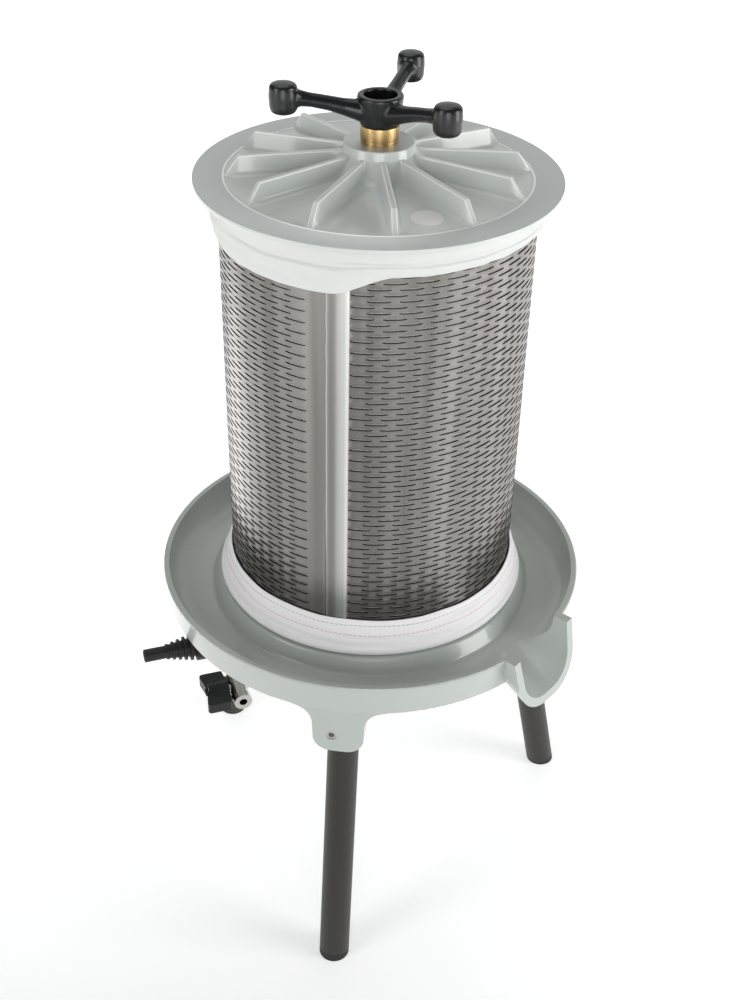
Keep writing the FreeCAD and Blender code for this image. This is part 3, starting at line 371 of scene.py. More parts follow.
def woven_cloth(name, stitch_lines):
    """Plain weave of polyester: threads 0.6 mm apart, drawn at 1.6 mm so that they show.

    The sleeve's map gives metres along the folded path, and on it lie the hem's stitches. The
    lower hem is painted whiter and the upper one greyer: painted light and painted shade.
    """
    material, tree, shader = start_material(
        name, Roughness=0.85, IOR=1.45, Sheen_Weight=0.2, Sheen_Roughness=0.5)
    flat = add_node(tree, "ShaderNodeUVMap", uv_map="cloth")
    warp = add_node(tree, "ShaderNodeTexWave", {
        "Vector": flat.outputs["UV"], "Scale": per_metre(1.6) / 20},
        wave_type="BANDS", bands_direction="X")
    weft = add_node(tree, "ShaderNodeTexWave", {
        "Vector": flat.outputs["UV"], "Scale": per_metre(1.6) / 20},
        wave_type="BANDS", bands_direction="Y")
    weave = add_node(tree, "ShaderNodeMath", {
        0: warp.outputs["Fac"], 1: weft.outputs["Fac"]}, operation="MULTIPLY")
    ways = add_node(tree, "ShaderNodeSeparateXYZ", {"Vector": flat.outputs["UV"]})
    steps = add_node(tree, "ShaderNodeMath", {
        0: ways.outputs["X"], 1: STITCH_STEP}, operation="FLOORED_MODULO")
    thread_over = add_node(tree, "ShaderNodeMath", {
        0: steps.outputs["Value"], 1: STITCH_STEP * 0.75}, operation="LESS_THAN")
    upper = add_node(tree, "ShaderNodeMapRange", {
        "Value": ways.outputs["Y"], "From Min": 0.2, "From Max": 0.3})
    # Painted light on the lower cuff, painted shade on the upper one.
    painted_cuff_tone = add_node(tree, "ShaderNodeMixRGB", {
        "Fac": upper.outputs["Result"], "Color1": linear("F3F1F2"), "Color2": linear("D8DAD7")})
    colour = painted_cuff_tone.outputs["Color"]
    relief = weave.outputs["Value"]
    for distance, wide, thread in stitch_lines:
        near = add_node(tree, "ShaderNodeMath", {
            0: ways.outputs["Y"], 1: distance, 2: wide / 2}, operation="COMPARE")
        shown = add_node(tree, "ShaderNodeMath", {
            0: near.outputs["Value"], 1: thread_over.outputs["Value"]}, operation="MULTIPLY")
        blend = add_node(tree, "ShaderNodeMixRGB", {
            "Fac": shown.outputs["Value"], "Color1": colour, "Color2": linear(thread)})
        colour = blend.outputs["Color"]
        sunk = add_node(tree, "ShaderNodeMath", {
            0: near.outputs["Value"], 1: -3.0, 2: relief}, operation="MULTIPLY_ADD")
        relief = sunk.outputs["Value"]
    tree.links.new(colour, shader.inputs["Base Color"])
    bump_from(tree, shader, relief, 0.00012, 0.5)
    return material


leg_paint = coated("leg_powder_coat", "282624", 0.42, 2.0, 0.00004)
cap_plastic = coated("cap_polyethylene", "161616", 0.55, 1.5, 0.00004)
grip_plastic = coated("grip_nylon", "0E0F12", 0.3, 1.2, 0.00005, Coat_Weight=0.2)
handle_plastic = coated("handle_abs", "141415", 0.38, 1.2, 0.00004)
guard_rubber = coated("guard_rubber", "121212", 0.5, 1.0, 0.00004)
membrane_rubber = coated("membrane_rubber", "1C1B1B", 0.55, 3.0, 0.00006)
label_vinyl = coated("label_vinyl", "EDEDEB", 0.3, 2.0, 0.00002)
plug_plastic = coated("plug_polypropylene", "C9C7BF", 0.5, 2.0, 0.00004)
STITCH_STEP = 5.0 * MM
HEM_STITCHES = [(6.5 * MM, 0.9 * MM, "C9C6C8"), (17.0 * MM, 1.4 * MM, "E9CCD2")]
bag_cloth = woven_cloth("polyester_cloth", HEM_STITCHES)

# %% Finishes of the CAD nodes
NODE_FINISHES = {
    "juice_tray": tray_enamel, "leg_left": leg_paint, "leg_right": leg_paint,
    "leg_rear": leg_paint, "foot_left": cap_plastic, "foot_right": cap_plastic,
    "foot_rear": cap_plastic, "leg_screws": zinc_steel, "centre_column": zinc_steel,
    "column_washer": zinc_steel, "column_nut": zinc_steel, "plug_nut": zinc_steel,
    "plug_lower": plug_plastic, "plug_upper": plug_plastic, "membrane": membrane_rubber,
    "band_lower": zinc_steel, "band_upper": zinc_steel, "air_block": nickel,
    "relief_valve": bush_brass, "inlet_pipe": zinc_steel, "air_tee": nickel,
    "valve_pipe": zinc_steel, "hose_tail": nickel, "kink_guard": guard_rubber,
    "valve_body": nickel, "valve_end": nickel, "rim_ring_lower": sheet_steel,
    "rim_ring_upper": sheet_steel, "thrust_washer": bush_brass, "grub_screw": black_steel,
    "valve_handle": handle_plastic, "valve_stem": bush_brass, "valve_ball": chrome_ball,
    "handle_nut": zinc_steel, "basket_shell": sheet_steel, "press_bag": bag_cloth,
    "lid": lid_enamel, "hand_nut": grip_plastic, "brass_bush": bush_brass,
}
for node_name, finish in NODE_FINISHES.items():
    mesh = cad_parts[node_name].data
    mesh.materials.clear()
    mesh.materials.append(finish)
print(len(NODE_FINISHES), "nodes finished")

# %% [markdown]
# ## Making pieces from a profile
# Most of the press is round. A profile is drawn once in the half-plane beside the column and
# spun about it. A full spin has to merge its last copy with the first one.

# %% Helpers for new pieces


def add_piece(name, shape, finishes, body, smooth_below=35.0):
    """Makes an object of a bmesh, gives it finishes and lets it ride on a body."""
    bmesh.ops.remove_doubles(shape, verts=shape.verts, dist=0.000001)
    bmesh.ops.recalc_face_normals(shape, faces=shape.faces)
    for edge in shape.edges:
        folded = edge.calc_face_angle(0.0) > math.radians(smooth_below)
        edge.smooth = not (len(edge.link_faces) == 2 and folded)
    for face in shape.faces:
        face.smooth = True
    mesh = bpy.data.meshes.new(name)
    shape.to_mesh(mesh)
    shape.free()
    for finish in finishes:
        mesh.materials.append(finish)
    piece = bpy.data.objects.new(name, mesh)
    bpy.context.collection.objects.link(piece)
    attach(piece, body)
    return piece


def weighted_shading(piece):
    """Lets big faces rule the shading, so that a flat face beside a fillet stays flat."""
    normals = piece.modifiers.new("normals", "WEIGHTED_NORMAL")
    normals.mode = "FACE_AREA_WITH_ANGLE"
    normals.keep_sharp = True


def spin_profile(shape, points, steps):
    """Spins a closed outline of (radius, height) points, in metres, about the column."""
    verts = [shape.verts.new((r, 0, z)) for r, z in points]
    edges = [shape.edges.new(pair) for pair in zip(verts, verts[1:] + verts[:1])]
    bmesh.ops.spin(shape, geom=verts + edges, cent=(0, 0, 0), axis=(0, 0, 1), dvec=(0, 0, 0),
                   angle=2 * math.pi, steps=steps, use_merge=True)
    bmesh.ops.remove_doubles(shape, verts=shape.verts, dist=0.000001)


def rounded_points(corners, steps=4):
    """Profile points of (radius, height, rounding) corners; a rounding of 0 stays sharp."""
    points = []
    for i, (r, z, rounding) in enumerate(corners):
        here = Vector((r, z))
        if rounding == 0:
            points.append(here)
            continue
        before = Vector(corners[i - 1][:2]) - here
        after = Vector(corners[(i + 1) % len(corners)][:2]) - here
        half = before.angle(after) / 2
        cut = rounding / math.tan(half)
        first, last = here + before.normalized() * cut, here + after.normalized() * cut
        for k in range(steps + 1):
            share = k / steps
            points.append((1 - share) ** 2 * first + 2 * share * (1 - share) * here
                          + share ** 2 * last)
    return [(p.x, p.y) for p in points]


# %% [markdown]
# ## The tray's eased edges
# A casting has no sharp edge, and paint pulls away from one, so each edge carries a thin
# highlight. The tray's mesh is copied, its loose triangles are merged, flat ones are joined,
# and every edge sharper than 35 degrees is bevelled.

# %% Eased tray
EASE = 1.2 * MM


def build_tray():
    """Copies the tray's mesh, joins its flat triangles and bevels its sharp edges."""
    shape = bmesh.new()
    shape.from_mesh(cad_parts["juice_tray"].data)
    bmesh.ops.remove_doubles(shape, verts=shape.verts, dist=0.00001)
    bmesh.ops.dissolve_limit(shape, angle_limit=math.radians(0.6), verts=shape.verts,
                             edges=shape.edges)
    sharp = [edge for edge in shape.edges if len(edge.link_faces) == 2
             and edge.calc_face_angle(0.0) > math.radians(35)]
    bmesh.ops.bevel(shape, geom=sharp, offset=EASE, offset_type="OFFSET", segments=3,
                    profile=0.5, affect="EDGES", clamp_overlap=True, material=-1)
    piece = add_piece("eased_tray", shape, [tray_enamel], "stand", 50.0)
    weighted_shading(piece)
    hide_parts("juice_tray")
    return piece


tray = build_tray()
print("tray faces:", len(tray.data.polygons))

# %% [markdown]
# ## The basket
# The basket is one rolled sheet of stainless steel with rows of punched slots, each row set
# half a step from the next. At the seam a plain strip is left, and there the sheet's end laps
# over. Texture alone would leave the slots flat from the side, so they are real openings: a
# flat grid gets its slot faces deleted, is given its wall and is rolled into a tube. The
# slots' walls are painted near black: painted shade.

# %% Basket sheet
shell_low, shell_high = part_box("basket_shell")
BASKET_RADIUS = shell_high[0]
BASKET_LOW, BASKET_HIGH = shell_low[2], shell_high[2]
SHEET_THICK = 1.5 * MM
ROW_PITCH = 6.0 * MM
SLOT_HIGH = 1.9 * MM
SLOT_ROWS = 74
FIRST_ROW = 11.7 * MM
SLOTS_ROUND = 32
SLOT_COLUMNS, COLUMNS = 6, 8
# The strip's lines: angle in degrees, how far the metal stands out in mm, and how much brighter it
# is painted: a ground weld, then a painted highlight band.
STRIP_LINES = [(-71.6, 0.0, 0.0), (-70.6, 0.0, 0.0), (-69.2, 0.0, 0.0), (-68.2, 0.0, 0.0),
               (-67.4, 0.0, 0.05), (-67.05, -0.4, 0.0), (-66.8, 0.7, 0.3), (-66.5, 1.1, 0.4),
               (-66.1, 0.75, 0.1), (-65.2, 0.6, 0.0), (-63.8, 0.5, 0.1), (-62.6, 0.4, 0.45),
               (-61.4, 0.3, 0.6), (-60.2, 0.2, 0.7), (-59.5, 0.15, 0.95), (-58.9, 0.1, 0.95),
               (-58.5, 0.0, 0.2)]
WELD_LINES, WELD_WANDER = range(5, 9), math.radians(0.14)
STRIP_COLUMNS = len(STRIP_LINES) - 1
STRIP_START, STRIP_END = math.radians(STRIP_LINES[0][0]), math.radians(STRIP_LINES[-1][0])
RIPPLE = 0.12 * MM


def column_place(index):
    """Angle, radius and painted brightening of a column line: slots first, then the strip with its
    weld and painted highlight band.
    """
    slotted = SLOTS_ROUND * COLUMNS
    if index <= slotted:
        share = index / slotted
        angle = STRIP_END + share * (2 * math.pi - (STRIP_END - STRIP_START))
        return angle, BASKET_RADIUS, 0.0
    degrees, rise, polish_and_highlight = STRIP_LINES[index - slotted]
    return math.radians(degrees), BASKET_RADIUS + rise * MM, polish_and_highlight


def row_height(index):
    """Height of a row line: two lines for each row of slots, and the sheet's two edges."""
    if index == 0:
        return BASKET_LOW
    if index > 2 * SLOT_ROWS:
        return BASKET_HIGH
    middle_line = BASKET_LOW + FIRST_ROW + ((index - 1) // 2) * ROW_PITCH
    return middle_line + (SLOT_HIGH / 2 if index % 2 == 0 else -SLOT_HIGH / 2)


# %% Build the basket


def build_basket():
    """Rolls a slotted grid into a tube and gives it a wall."""
    columns = SLOTS_ROUND * COLUMNS + STRIP_COLUMNS
    rows = 2 * SLOT_ROWS + 1
    sheet = bmesh.new()
    polish_and_highlight_layer = sheet.verts.layers.float.new("polish_and_highlight")
    bmesh.ops.create_grid(sheet, x_segments=columns, y_segments=rows, size=0.5)
    spots = {v: (round((v.co.x + 0.5) * columns), round((v.co.y + 0.5) * rows))
             for v in sheet.verts}
    slots, ends = [], set()
    for face in sheet.faces:
        column = min(spots[v][0] for v in face.verts)
        row = min(spots[v][1] for v in face.verts)
        if column == SLOTS_ROUND * COLUMNS + WELD_LINES[0]:
            face.material_index = 1
        if row % 2 == 0 or column >= SLOTS_ROUND * COLUMNS:
            continue
        shift = 0 if (row // 2) % 2 == 0 else COLUMNS // 2
        step = (column - shift) % COLUMNS
        first = column - step
        if step < SLOT_COLUMNS and first >= 0 and first + SLOT_COLUMNS <= SLOTS_ROUND * COLUMNS:
            slots.append(face)
            for end in (first, first + SLOT_COLUMNS):
                ends.update(((end, row), (end, row + 1)))
    bmesh.ops.delete(sheet, geom=slots, context="FACES_ONLY")
    for vert, (column, row) in spots.items():
        angle, radius, vert[polish_and_highlight_layer] = column_place(column)
        height = row_height(row)
        if column - SLOTS_ROUND * COLUMNS in WELD_LINES:
            angle += WELD_WANDER * noise.noise(Vector((0, 0, height * 60)))
        if 0 < row <= 2 * SLOT_ROWS and 0 < column < SLOTS_ROUND * COLUMNS:
            radius += RIPPLE if row % 2 else -RIPPLE
        if (column, row) in ends:
            height += SLOT_HIGH * 0.28 * (1 if row % 2 else -1)
        vert.co = (radius * math.sin(angle), -radius * math.cos(angle), height)
    bmesh.ops.remove_doubles(sheet, verts=sheet.verts, dist=0.00001)
    bmesh.ops.recalc_face_normals(sheet, faces=sheet.faces)
    bmesh.ops.solidify(sheet, geom=sheet.faces[:], thickness=SHEET_THICK)
    # Faces that stand sideways, the slots' walls among them, get the near-black metal: painted
    # shade.
    for face in sheet.faces:
        middle_point = face.calc_center_median()
        outward = Vector((middle_point.x, middle_point.y, 0)).normalized()
        if abs(face.normal.dot(outward)) < 0.5:
            face.material_index = 1
    piece = add_piece("slotted_basket", sheet, [sheet_steel, slot_shade_and_weld_line], "basket")
    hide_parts("basket_shell")
    return piece


basket = build_basket()
print("basket faces:", len(basket.data.polygons))

# %% [markdown]
# ## The lid
# The lid is a casting: twelve ribs run from its hub to a raised rim and grow out of the pan
# with soft roots, which is where a cast part gathers its highlights. Booleans would leave hard
# corners, so one profile is spun, and its upper skin is then drawn up into the ribs: each line
# of vertices near a rib is moved to its crest, side or root.

# %% Lid sizes
lid_low, lid_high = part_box("lid")
LID_RADIUS = lid_high[0]
HUB_TOP = lid_high[2]
RIM_TOP = HUB_TOP - 33.0 * MM
RIM_LOW = RIM_TOP - 11.0 * MM
SPIGOT_LOW = lid_low[2]
LID_BORE = 12.05 * MM
FLANGE_THICK = 4.5 * MM
HUB_RADIUS, PAN_RADIUS, FACE_RADIUS = 35.0 * MM, 60.0 * MM, 154.0 * MM
RIB_COUNT, RIB_START = 12, math.radians(16.0)
RIB_BREAK, RIB_HIGH = 137.0 * MM, 20.0 * MM
CREST_HALF, RIB_DRAFT, RIB_ROOT = 2.8 * MM, 0.11, 5.5 * MM
PAN_RISE, PAN_FALL = 5.0 * MM, 5.4 * MM
ROOT_LINE = 10
LID_STEPS = 360


def pan_height(radius):
    """Height of the pan between the ribs: a cone that falls a little towards the rim."""
    share = (radius - PAN_RADIUS) / (FACE_RADIUS - PAN_RADIUS - 2 * MM)
    return RIM_TOP + PAN_RISE - PAN_FALL * share


def crest_height(radius):
    """Height of a rib's crest: straight from the hub to its break, then down to the pan."""
    start = (HUB_RADIUS - 2 * MM, HUB_TOP - 8 * MM)
    top = (RIB_BREAK, RIM_TOP + RIB_HIGH)
    foot = (FACE_RADIUS - 1.5 * MM, RIM_TOP - 1.0 * MM)
    one, two = (start, top) if radius <= RIB_BREAK else (top, foot)
    share = (radius - one[0]) / (two[0] - one[0])
    return one[1] + min(share, 1.05) * (two[1] - one[1])


def rib_section(line, rise):
    """Sideways place and height of one of a rib's lines; line 0 is the middle of the crest."""
    draft = RIB_DRAFT * rise
    root = min(RIB_ROOT, 0.5 * rise)
    edge = CREST_HALF + draft
    ease = MM * min(rise / (8 * MM), 1.0)
    lines = [
        (0.0, rise), (CREST_HALF * 0.62, rise), (CREST_HALF * 0.86, rise - 0.2 * ease),
        (CREST_HALF * 0.98, rise - 0.6 * ease), (CREST_HALF + 0.1 * ease, rise - 1.6 * ease),
        (CREST_HALF + draft * 0.5, (rise + root) / 2), (edge, root),
        (edge + 0.14 * root, root * 0.6), (edge + 0.42 * root, root * 0.28),
        (edge + 0.8 * root, root * 0.08), (edge + 1.3 * root, 0.0)]
    sideways, height = lines[line]
    return sideways, max(height, 0.0)


def crest_share(line, rise):
    """How much painted highlight a rib's line gets: the crest's edges get it, and it fades where
    the rib runs out.
    """
    return {1: 0.2, 2: 1.0, 3: 1.0}.get(line, 0.0) * min(rise / (5 * MM), 1.0)


# %% Build the lid


def lid_profile():
    """The lid's closed outline, with extra rows of points where the ribs rise and break."""
    at = [PAN_RADIUS + k * 7 * MM for k in range(1, 10)]
    at += [RIB_BREAK + k * MM for k in (-8, -4, -2, -1, 0, 1, 2, 3.5, 5, 7, 9, 11, 13, 14)]
    corners = [(LID_BORE, HUB_TOP, 0), (HUB_RADIUS, HUB_TOP, 1.5 * MM),
               (HUB_RADIUS + 2 * MM, HUB_TOP - 9 * MM, 6 * MM),
               (PAN_RADIUS - 8 * MM, RIM_TOP + 5.5 * MM, 14 * MM)]
    corners += [(r, pan_height(r), 0) for r in at]
    bead = ((2.6, -0.25), (2.0, 0.15), (1.4, 0.38), (0.8, 0.38), (0.3, 0.2), (0.0, 0.0))
    corners += [(FACE_RADIUS - inward * MM, RIM_TOP + up * MM, 0) for inward, up in bead]
    corners += [(LID_RADIUS, RIM_TOP, 0.8 * MM),
                (LID_RADIUS, RIM_TOP - FLANGE_THICK, 1 * MM),
                (168.5 * MM, RIM_TOP - FLANGE_THICK - 0.5 * MM, 1.5 * MM),
                (163.5 * MM, RIM_LOW, 0.5 * MM), (153.0 * MM, RIM_LOW, 0),
                (152.5 * MM, SPIGOT_LOW, 1 * MM), (146.0 * MM, SPIGOT_LOW, 1 * MM),
                (144.0 * MM, RIM_TOP - 7 * MM, 2 * MM),
                (60.0 * MM, RIM_TOP - 2 * MM, 0), (34.0 * MM, RIM_TOP + 15 * MM, 0),
                (26.0 * MM, RIM_TOP + 15 * MM, 0), (26.0 * MM, RIM_LOW, 0),
                (LID_BORE, RIM_LOW, 0)]
    return rounded_points(corners)


def draw_up_ribs(shape):
    """Moves the vertices sideways to the ribs' lines, and the upper skin's up to the ribs.

    Every ring of vertices is moved sideways alike, so that no face is sheared.
    """
    sector = LID_STEPS // RIB_COUNT
    half_sector = math.pi / RIB_COUNT
    crest = shape.verts.layers.float["crest"]
    for vert in shape.verts:
        radius = math.hypot(vert.co.x, vert.co.y)
        if radius < HUB_RADIUS / 2:
            continue
        upper = vert.co.z > RIM_TOP - 1.5 * MM
        near = min(max(radius, HUB_RADIUS), FACE_RADIUS - 2.6 * MM)
        rise = max(crest_height(near) - vert.co.z, 0.0) if upper else 0.0
        turn = round(math.atan2(vert.co.x, -vert.co.y) / (2 * math.pi) * LID_STEPS)
        rib = round(turn / sector)
        step = turn - rib * sector
        side, line = (1 if step >= 0 else -1), abs(step)
        edge_way, _ = rib_section(ROOT_LINE, rise)
        edge_angle = min(math.asin(min(edge_way / near, 1.0)), half_sector * 0.8)
        if line <= ROOT_LINE:
            sideways, up = rib_section(line, rise)
            angle = edge_angle * sideways / edge_way
            if upper and HUB_RADIUS * 0.99 < radius < FACE_RADIUS - 2.5 * MM:
                vert.co.z += up
                # The crest's edge lines get a painted highlight.
                vert[crest] = crest_share(line, rise)
        else:
            share = (line - ROOT_LINE) / (sector / 2 - ROOT_LINE)
            angle = edge_angle + share * (half_sector - edge_angle)
        angle = RIB_START + rib * 2 * half_sector + side * angle
        vert.co.x, vert.co.y = radius * math.sin(angle), -radius * math.cos(angle)


def build_lid():
    """Spins the lid, draws up its ribs and leaves its rim and hub face bare; the bead round the
    pan gets a lighter copy of the bare metal, a painted highlight.
    """
    shape = bmesh.new()
    shape.verts.layers.float.new("crest")
    spin_profile(shape, lid_profile(), LID_STEPS)
    draw_up_ribs(shape)
    for face in shape.faces:
        spot = face.calc_center_median()
        radius = math.hypot(spot.x, spot.y)
        on_rim = radius > FACE_RADIUS and spot.z > RIM_TOP - 0.3 * MM
        on_hub = radius < HUB_RADIUS - 1.6 * MM and spot.z > HUB_TOP - 1 * MM
        on_highlight_edge = abs(radius - FACE_RADIUS + 0.9 * MM) < 0.9 * MM and spot.z > RIM_TOP - 0.1 * MM
        face.material_index = 2 if on_highlight_edge else 1 if on_rim or on_hub else 0
    piece = add_piece("cast_lid", shape, [lid_enamel, lid_machined, turned_edge_highlight], "lid_body", 50.0)
    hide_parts("lid")
    return piece


lid = build_lid()
print("lid faces:", len(lid.data.polygons))

# %% [markdown]
# A small round label lies on the pan between two ribs. Here it stays blank. A disc is cut, and
# each of its points is laid on the pan, so that it follows the cone.

# %% Blank label
LABEL_RADIUS, LABEL_THICK = 15.5 * MM, 0.3 * MM
LABEL_REACH, LABEL_ANGLE = 121.5 * MM, math.radians(-28.2)


def build_label():
    """Cuts a round disc and lays it on the pan, a label's thickness above the enamel."""
    shape = bmesh.new()
    middle_place = (LABEL_REACH * math.sin(LABEL_ANGLE), -LABEL_REACH * math.cos(LABEL_ANGLE), 0)
    bmesh.ops.create_circle(shape, cap_ends=True, cap_tris=True, radius=LABEL_RADIUS,
                            segments=64, matrix=Matrix.Translation(middle_place))
    made = bmesh.ops.extrude_face_region(shape, geom=shape.faces[:])["geom"]
    upper = {part for part in made if isinstance(part, bmesh.types.BMVert)}
    for vert in shape.verts:
        lift = LABEL_THICK if vert in upper else 0.0
        vert.co.z = pan_height(math.hypot(vert.co.x, vert.co.y)) + lift
    piece = add_piece("blank_label", shape, [label_vinyl], "lid_body")
    return piece


label = build_label()
print("label at", [round(v, 3) for v in label.data.vertices[0].co])

# %% [markdown]
# ## The hand nut
# The grip is moulded over a brass bush. Its three arms run into the hub and the knobs in one
# smooth skin. The parts are made one by one and pushed into each other, then a voxel remesh
# turns them into a single skin, and smoothing rounds every corner where they meet.

# %% Grip sizes
WASHER_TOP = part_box("thrust_washer")[1][2]
BUSH_SHOWN = 13.6 * MM
HUB_LOW, ARM_LOW = WASHER_TOP + BUSH_SHOWN, WASHER_TOP + 16.7 * MM
KNOB_REACH, KNOB_RADIUS, KNOB_RISE, KNOB_HIGH = 93.2 * MM, 14.1 * MM, 26.5 * MM, 30.0 * MM
GRIP_START = math.radians(111.4)
GRIP_VOXEL = 1.0 * MM


def add_arm(shape, angle):
    """A lofted arm: rounded sections that narrow from the hub and swell at the knob."""
    sections = [(17.8, 10.8, 11.2, 10.5), (25, 9.6, 10.0, 12.2), (35, 8.0, 8.4, 15.0),
                (51, 6.9, 7.2, 19.6), (68, 6.8, 6.8, 23.4), (77, 7.4, 7.8, 25.2),
                (83, 9.4, 10.4, 26.2), (87, 11.2, 12.6, 26.5)]
    turn = Matrix.Rotation(angle, 4, "Z")
    loops = []
    for reach, half_wide, half_high, rise in sections:
        ring = bmesh.ops.create_circle(shape, cap_ends=False, radius=1.0, segments=20)["verts"]
        place = (turn @ Matrix.Translation((0, -reach * MM, ARM_LOW + rise * MM))
                 @ Matrix.Rotation(math.pi / 2, 4, "X")
                 @ Matrix.Diagonal((half_wide * MM, half_high * MM, 1, 1)))
        bmesh.ops.transform(shape, matrix=place, verts=ring)
        loops.append(ring)
    for one, two in zip(loops, loops[1:]):
        both = set(one + two)
        edges = [e for e in shape.edges if set(e.verts) <= both and len(e.link_faces) < 2]
        bmesh.ops.bridge_loops(shape, edges=edges)
    for ring in (loops[0], loops[-1]):
        bmesh.ops.contextual_create(shape, geom=ring)


def add_knob(shape, angle):
    """A barrel-shaped knob with rounded ends, spun about its own axis."""
    high = KNOB_HIGH / 2
    corners = [(0, -high, 0), (KNOB_RADIUS * 0.94, -high, 7.5 * MM),
               (KNOB_RADIUS, high * 0.1, 4 * MM), (KNOB_RADIUS * 0.94, high - 1.5 * MM, 5.5 * MM),
               (0, high, 0)]
    profile = rounded_points(corners)
    verts = [shape.verts.new((r, 0, z)) for r, z in profile]
    edges = [shape.edges.new(pair) for pair in zip(verts, verts[1:])]
    bmesh.ops.spin(shape, geom=verts + edges, cent=(0, 0, 0), axis=(0, 0, 1),
                   dvec=(0, 0, 0), angle=2 * math.pi, steps=32, use_merge=True)
    place = Matrix.Rotation(angle, 4, "Z") @ Matrix.Translation(
        (0, -KNOB_REACH, ARM_LOW + KNOB_RISE))
    new_knob = [v for v in shape.verts if v.co.z < ARM_LOW / 2]
    bmesh.ops.transform(shape, matrix=place, verts=new_knob)


def remeshed(piece, voxel, rounds):
    """Replaces a piece's mesh by one even skin and smooths it."""
    skin = piece.modifiers.new("skin", "REMESH")
    skin.mode = "VOXEL"
    skin.voxel_size = voxel
    calm = piece.modifiers.new("calm", "SMOOTH")
    calm.factor = 0.5
    calm.iterations = rounds
    done = bpy.data.meshes.new_from_object(
        piece.evaluated_get(bpy.context.evaluated_depsgraph_get()))
    piece.modifiers.clear()
    finishes = list(piece.data.materials)
    piece.data = done
    done.materials.clear()
    for finish in finishes:
        done.materials.append(finish)
    for polygon in done.polygons:
        polygon.use_smooth = True
    return piece


def build_grip():
    """Pushes three knobs, three arms and an open hub into each other and skins them."""
    shape = bmesh.new()
    for k in range(3):
        add_knob(shape, GRIP_START + k * 2 * math.pi / 3)
    for k in range(3):
        add_arm(shape, GRIP_START + k * 2 * math.pi / 3)
    hub = [(16.2, 29.2, 1.0), (22.7, 29.2, 2.0), (21.4, 15.0, 4.0), (19.3, 0.0, 1.5),
           (16.05, 0.0, 0), (16.05, 12.5, 0), (16.2, 12.5, 0)]
    spin_profile(shape, rounded_points([(r * MM, HUB_LOW + z * MM, c * MM)
                                        for r, z, c in hub]), 96)
    bmesh.ops.recalc_face_normals(shape, faces=shape.faces)
    piece = add_piece("moulded_grip", shape, [grip_plastic], "nut")
    remeshed(piece, GRIP_VOXEL, 4)
    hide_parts("hand_nut")
    return piece


grip = build_grip()
print("grip faces:", len(grip.data.polygons))

# %% [markdown]
# The brass bush is plain and turned. Its upper half is a spigot inside the grip.

# %% Brass bush
BUSH_LOW, BUSH_HIGH = WASHER_TOP, WASHER_TOP + 25.5 * MM


def build_bush():
    """A plain turned bush, bored for the column's thread, with a spigot in the grip's hub."""
    outline = [(12.05, BUSH_LOW, 0.3), (19.0, BUSH_LOW, 0.8), (19.0, HUB_LOW, 0.3),
               (16.0, HUB_LOW, 0), (16.0, BUSH_HIGH, 0.4), (12.05, BUSH_HIGH, 0.4)]
    shape = bmesh.new()
    spin_profile(shape, rounded_points([(r * MM, z, c * MM) for r, z, c in outline]), 96)
    piece = add_piece("turned_bush", shape, [bush_brass], "nut")
    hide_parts("brass_bush")
    return piece


bush = build_bush()
print("bush from", round(BUSH_LOW, 4), "to", round(BUSH_HIGH, 4))

# %% [markdown]
# ## The press bag
# The bag is an open sleeve of white polyester cloth. It lines the basket and is folded out
# over both rims, so only its two cuffs show. The upper cuff hangs unevenly, because it was
# pulled over by hand. Its path is spun as a thin skin, the free part is pushed about by soft
# noise, as cloth held at one edge is, and a thin wall is added last.

# %% Bag path and folds
BAG_STEPS = 288
CLOTH_THICK = 1.1 * MM
LOWER_CUFF = [(161.5, 37.4), (162.6, 36.6), (163.6, 33.6), (165.0, 29.6), (165.3, 28.6),
              (166.6, 26.4), (168.8, 19.4), (169.0, 18.6), (170.2, 16.2), (170.8, 9.6),
              (171.0, 8.2), (173.2, 7.0), (174.4, 4.4), (174.3, 2.0), (173.2, 0.2),
              (171.0, -1.4), (167.0, -1.7), (160.0, -1.7)]
UPPER_CUFF = [(158.6, 1.2), (163.5, 1.6), (165.6, 2.6), (167.2, 4.6), (168.4, 6.1), (169.4, 5.6),
              (169.9, 3.0), (169.8, -2.5), (169.3, -9.5), (168.4, -15.0), (167.2, -21.0),
              (165.4, -27.0), (163.6, -32.0), (162.0, -35.5)]
CLOTH_NEAREST = BASKET_RADIUS + 1.5 * MM
CUFF_LEFT, CUFF_RIGHT = -6.0 * MM, 14.0 * MM


def finer(points, parts=3):
    """Puts extra points between the drawn ones, so that folds can show."""
    more = [points[0]]
    for one, two in zip(points, points[1:]):
        for k in range(1, parts + 1):
            more.append(tuple(a + (b - a) * k / parts for a, b in zip(one, two)))
    return more


def bag_path():
    """Points (radius, height, way along) from the lower cuff's edge to the upper one's."""
    path = [(r * MM, BASKET_LOW + z * MM) for r, z in finer(LOWER_CUFF)]
    rows = 24
    for k in range(rows + 1):
        path.append((157.1 * MM, BASKET_LOW + (BASKET_HIGH - BASKET_LOW) * k / rows))
    path += [(r * MM, BASKET_HIGH + z * MM) for r, z in finer(UPPER_CUFF, 5)]
    way, marked = 0.0, [(*path[0], 0.0)]
    for one, two in zip(path, path[1:]):
        way += math.dist(one, two)
        marked.append((*two, way))
    return marked


def smooth_step(low, high, value):
    """Rises softly from 0 at low to 1 at high."""
    share = min(max((value - low) / (high - low), 0.0), 1.0)
    return share * share * (3 - 2 * share)


def upper_edge_lift(angle):
    """How much the upper cuff's free edge is lifted: low at the left, higher from the seam."""
    degrees = math.degrees(angle)
    lift = smooth_step(-67, -43, degrees) * (1 - smooth_step(6, 60, degrees))
    return CUFF_LEFT + lift * (CUFF_RIGHT - CUFF_LEFT) * 0.98


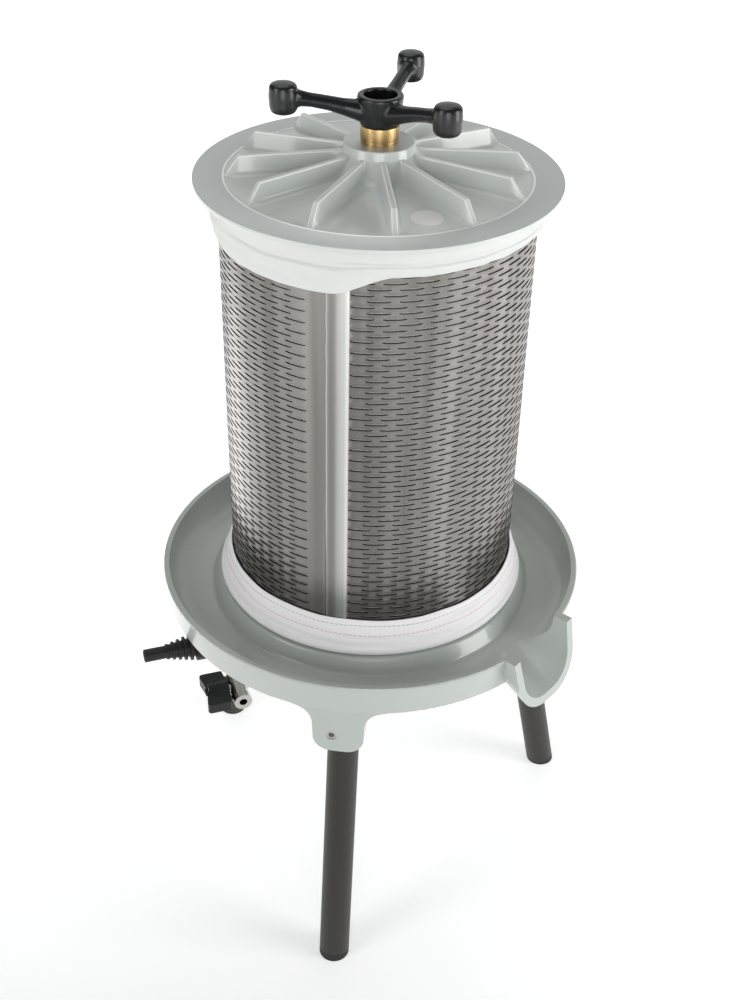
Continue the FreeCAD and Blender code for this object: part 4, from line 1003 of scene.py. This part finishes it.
def crease_push(angle, below):
    """Sideways creases a little below the fold: in or out, in metres, below it in mm."""
    degrees = math.degrees(angle)
    long_line = 9.5 + 1.3 * noise.noise(Vector((degrees / 16, 0, 4)))
    long_part = smooth_step(-120, -85, degrees) * (1 - smooth_step(0, 30, degrees))
    short_line = long_line - 4.4 + (degrees + 50) * 0.06
    short_part = smooth_step(-66, -57, degrees) * (1 - smooth_step(-43, -32, degrees))
    push = 0.0
    for line, part in ((long_line, long_part), (short_line, short_part)):
        off = below - line
        ridge, valley = math.exp(-((off - 2.4) / 2.0) ** 2), math.exp(-(off / 1.3) ** 2)
        push += part * (0.7 * ridge - 1.5 * valley)
    return push * MM


def build_bag():
    """Spins the folded path, pushes the cuffs about and gives the cloth a thin wall."""
    path = bag_path()
    shape = bmesh.new()
    along = shape.verts.layers.float.new("along")
    verts = [shape.verts.new((r, 0, z)) for r, z, _ in path]
    for vert, (_, _, way) in zip(verts, path):
        vert[along] = way
    edges = [shape.edges.new(pair) for pair in zip(verts, verts[1:])]
    bmesh.ops.spin(shape, geom=verts + edges, cent=(0, 0, 0), axis=(0, 0, 1), dvec=(0, 0, 0),
                   angle=2 * math.pi, steps=BAG_STEPS, use_merge=True)
    bmesh.ops.remove_doubles(shape, verts=shape.verts, dist=0.000001)
    fold_height = BASKET_HIGH - 1.0 * MM
    for vert in shape.verts:
        radius = math.hypot(vert.co.x, vert.co.y)
        angle = math.atan2(vert.co.x, -vert.co.y)
        around_it = Vector((math.sin(angle), -math.cos(angle), 0))
        if radius < 161.4 * MM:
            continue
        if vert.co.z > (BASKET_LOW + BASKET_HIGH) / 2:
            hang = max(0.0, (fold_height - vert.co.z) / (34.5 * MM))
            vert.co.z += hang ** 1.6 * upper_edge_lift(angle)
            crease = noise.noise(around_it * 2.5 + Vector((0, 0, vert.co.z * 130)))
            swell = noise.noise(around_it * 5 + Vector((5, 0, vert.co.z * 30)))
            push = (crease * 2.0 + swell * 1.6) * MM * min(hang * 3.5, 1.0) * (1 - 0.7 * hang)
            push += crease_push(angle, hang * 34.5)
            radius = max(radius + push, CLOTH_NEAREST)
            vert.co.z += noise.noise(around_it * 9) * 1.0 * MM * hang
        else:
            rise = (vert.co.z - BASKET_LOW) / (36 * MM)
            crease = noise.noise(around_it * 3 + Vector((0, 3, vert.co.z * 170)))
            free = smooth_step(0.05, 0.4, rise) * (1 - smooth_step(0.85, 1, rise))
            push = crease * 2.0 * MM * free
            radius = max(radius + push, CLOTH_NEAREST)
            vert.co.z += noise.noise(around_it * 4 + Vector((0, 0, 9))) * 1.5 * MM * max(rise, 0)
        vert.co.x, vert.co.y = radius * around_it.x, radius * around_it.y
    lay_cloth_map(shape)
    piece = add_piece("cloth_bag", shape, [bag_cloth], "basket", 180.0)
    wall = piece.modifiers.new("wall", "SOLIDIFY")
    wall.thickness = CLOTH_THICK
    wall.offset = 0.0
    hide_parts("press_bag")
    return piece


def lay_cloth_map(shape):
    """Gives the sleeve a map in metres: round it, and along the folded path."""
    layer = shape.loops.layers.uv.new("cloth")
    along = shape.verts.layers.float["along"]
    for face in shape.faces:
        turns = [math.atan2(v.co.x, -v.co.y) for v in face.verts]
        wraps = max(turns) - min(turns) > math.pi
        for loop in face.loops:
            turn = math.atan2(loop.vert.co.x, -loop.vert.co.y)
            if wraps and turn < 0:
                turn += 2 * math.pi
            loop[layer].uv = (turn * 159.5 * MM, loop.vert[along])


bag = build_bag()
print("bag faces:", len(bag.data.polygons))
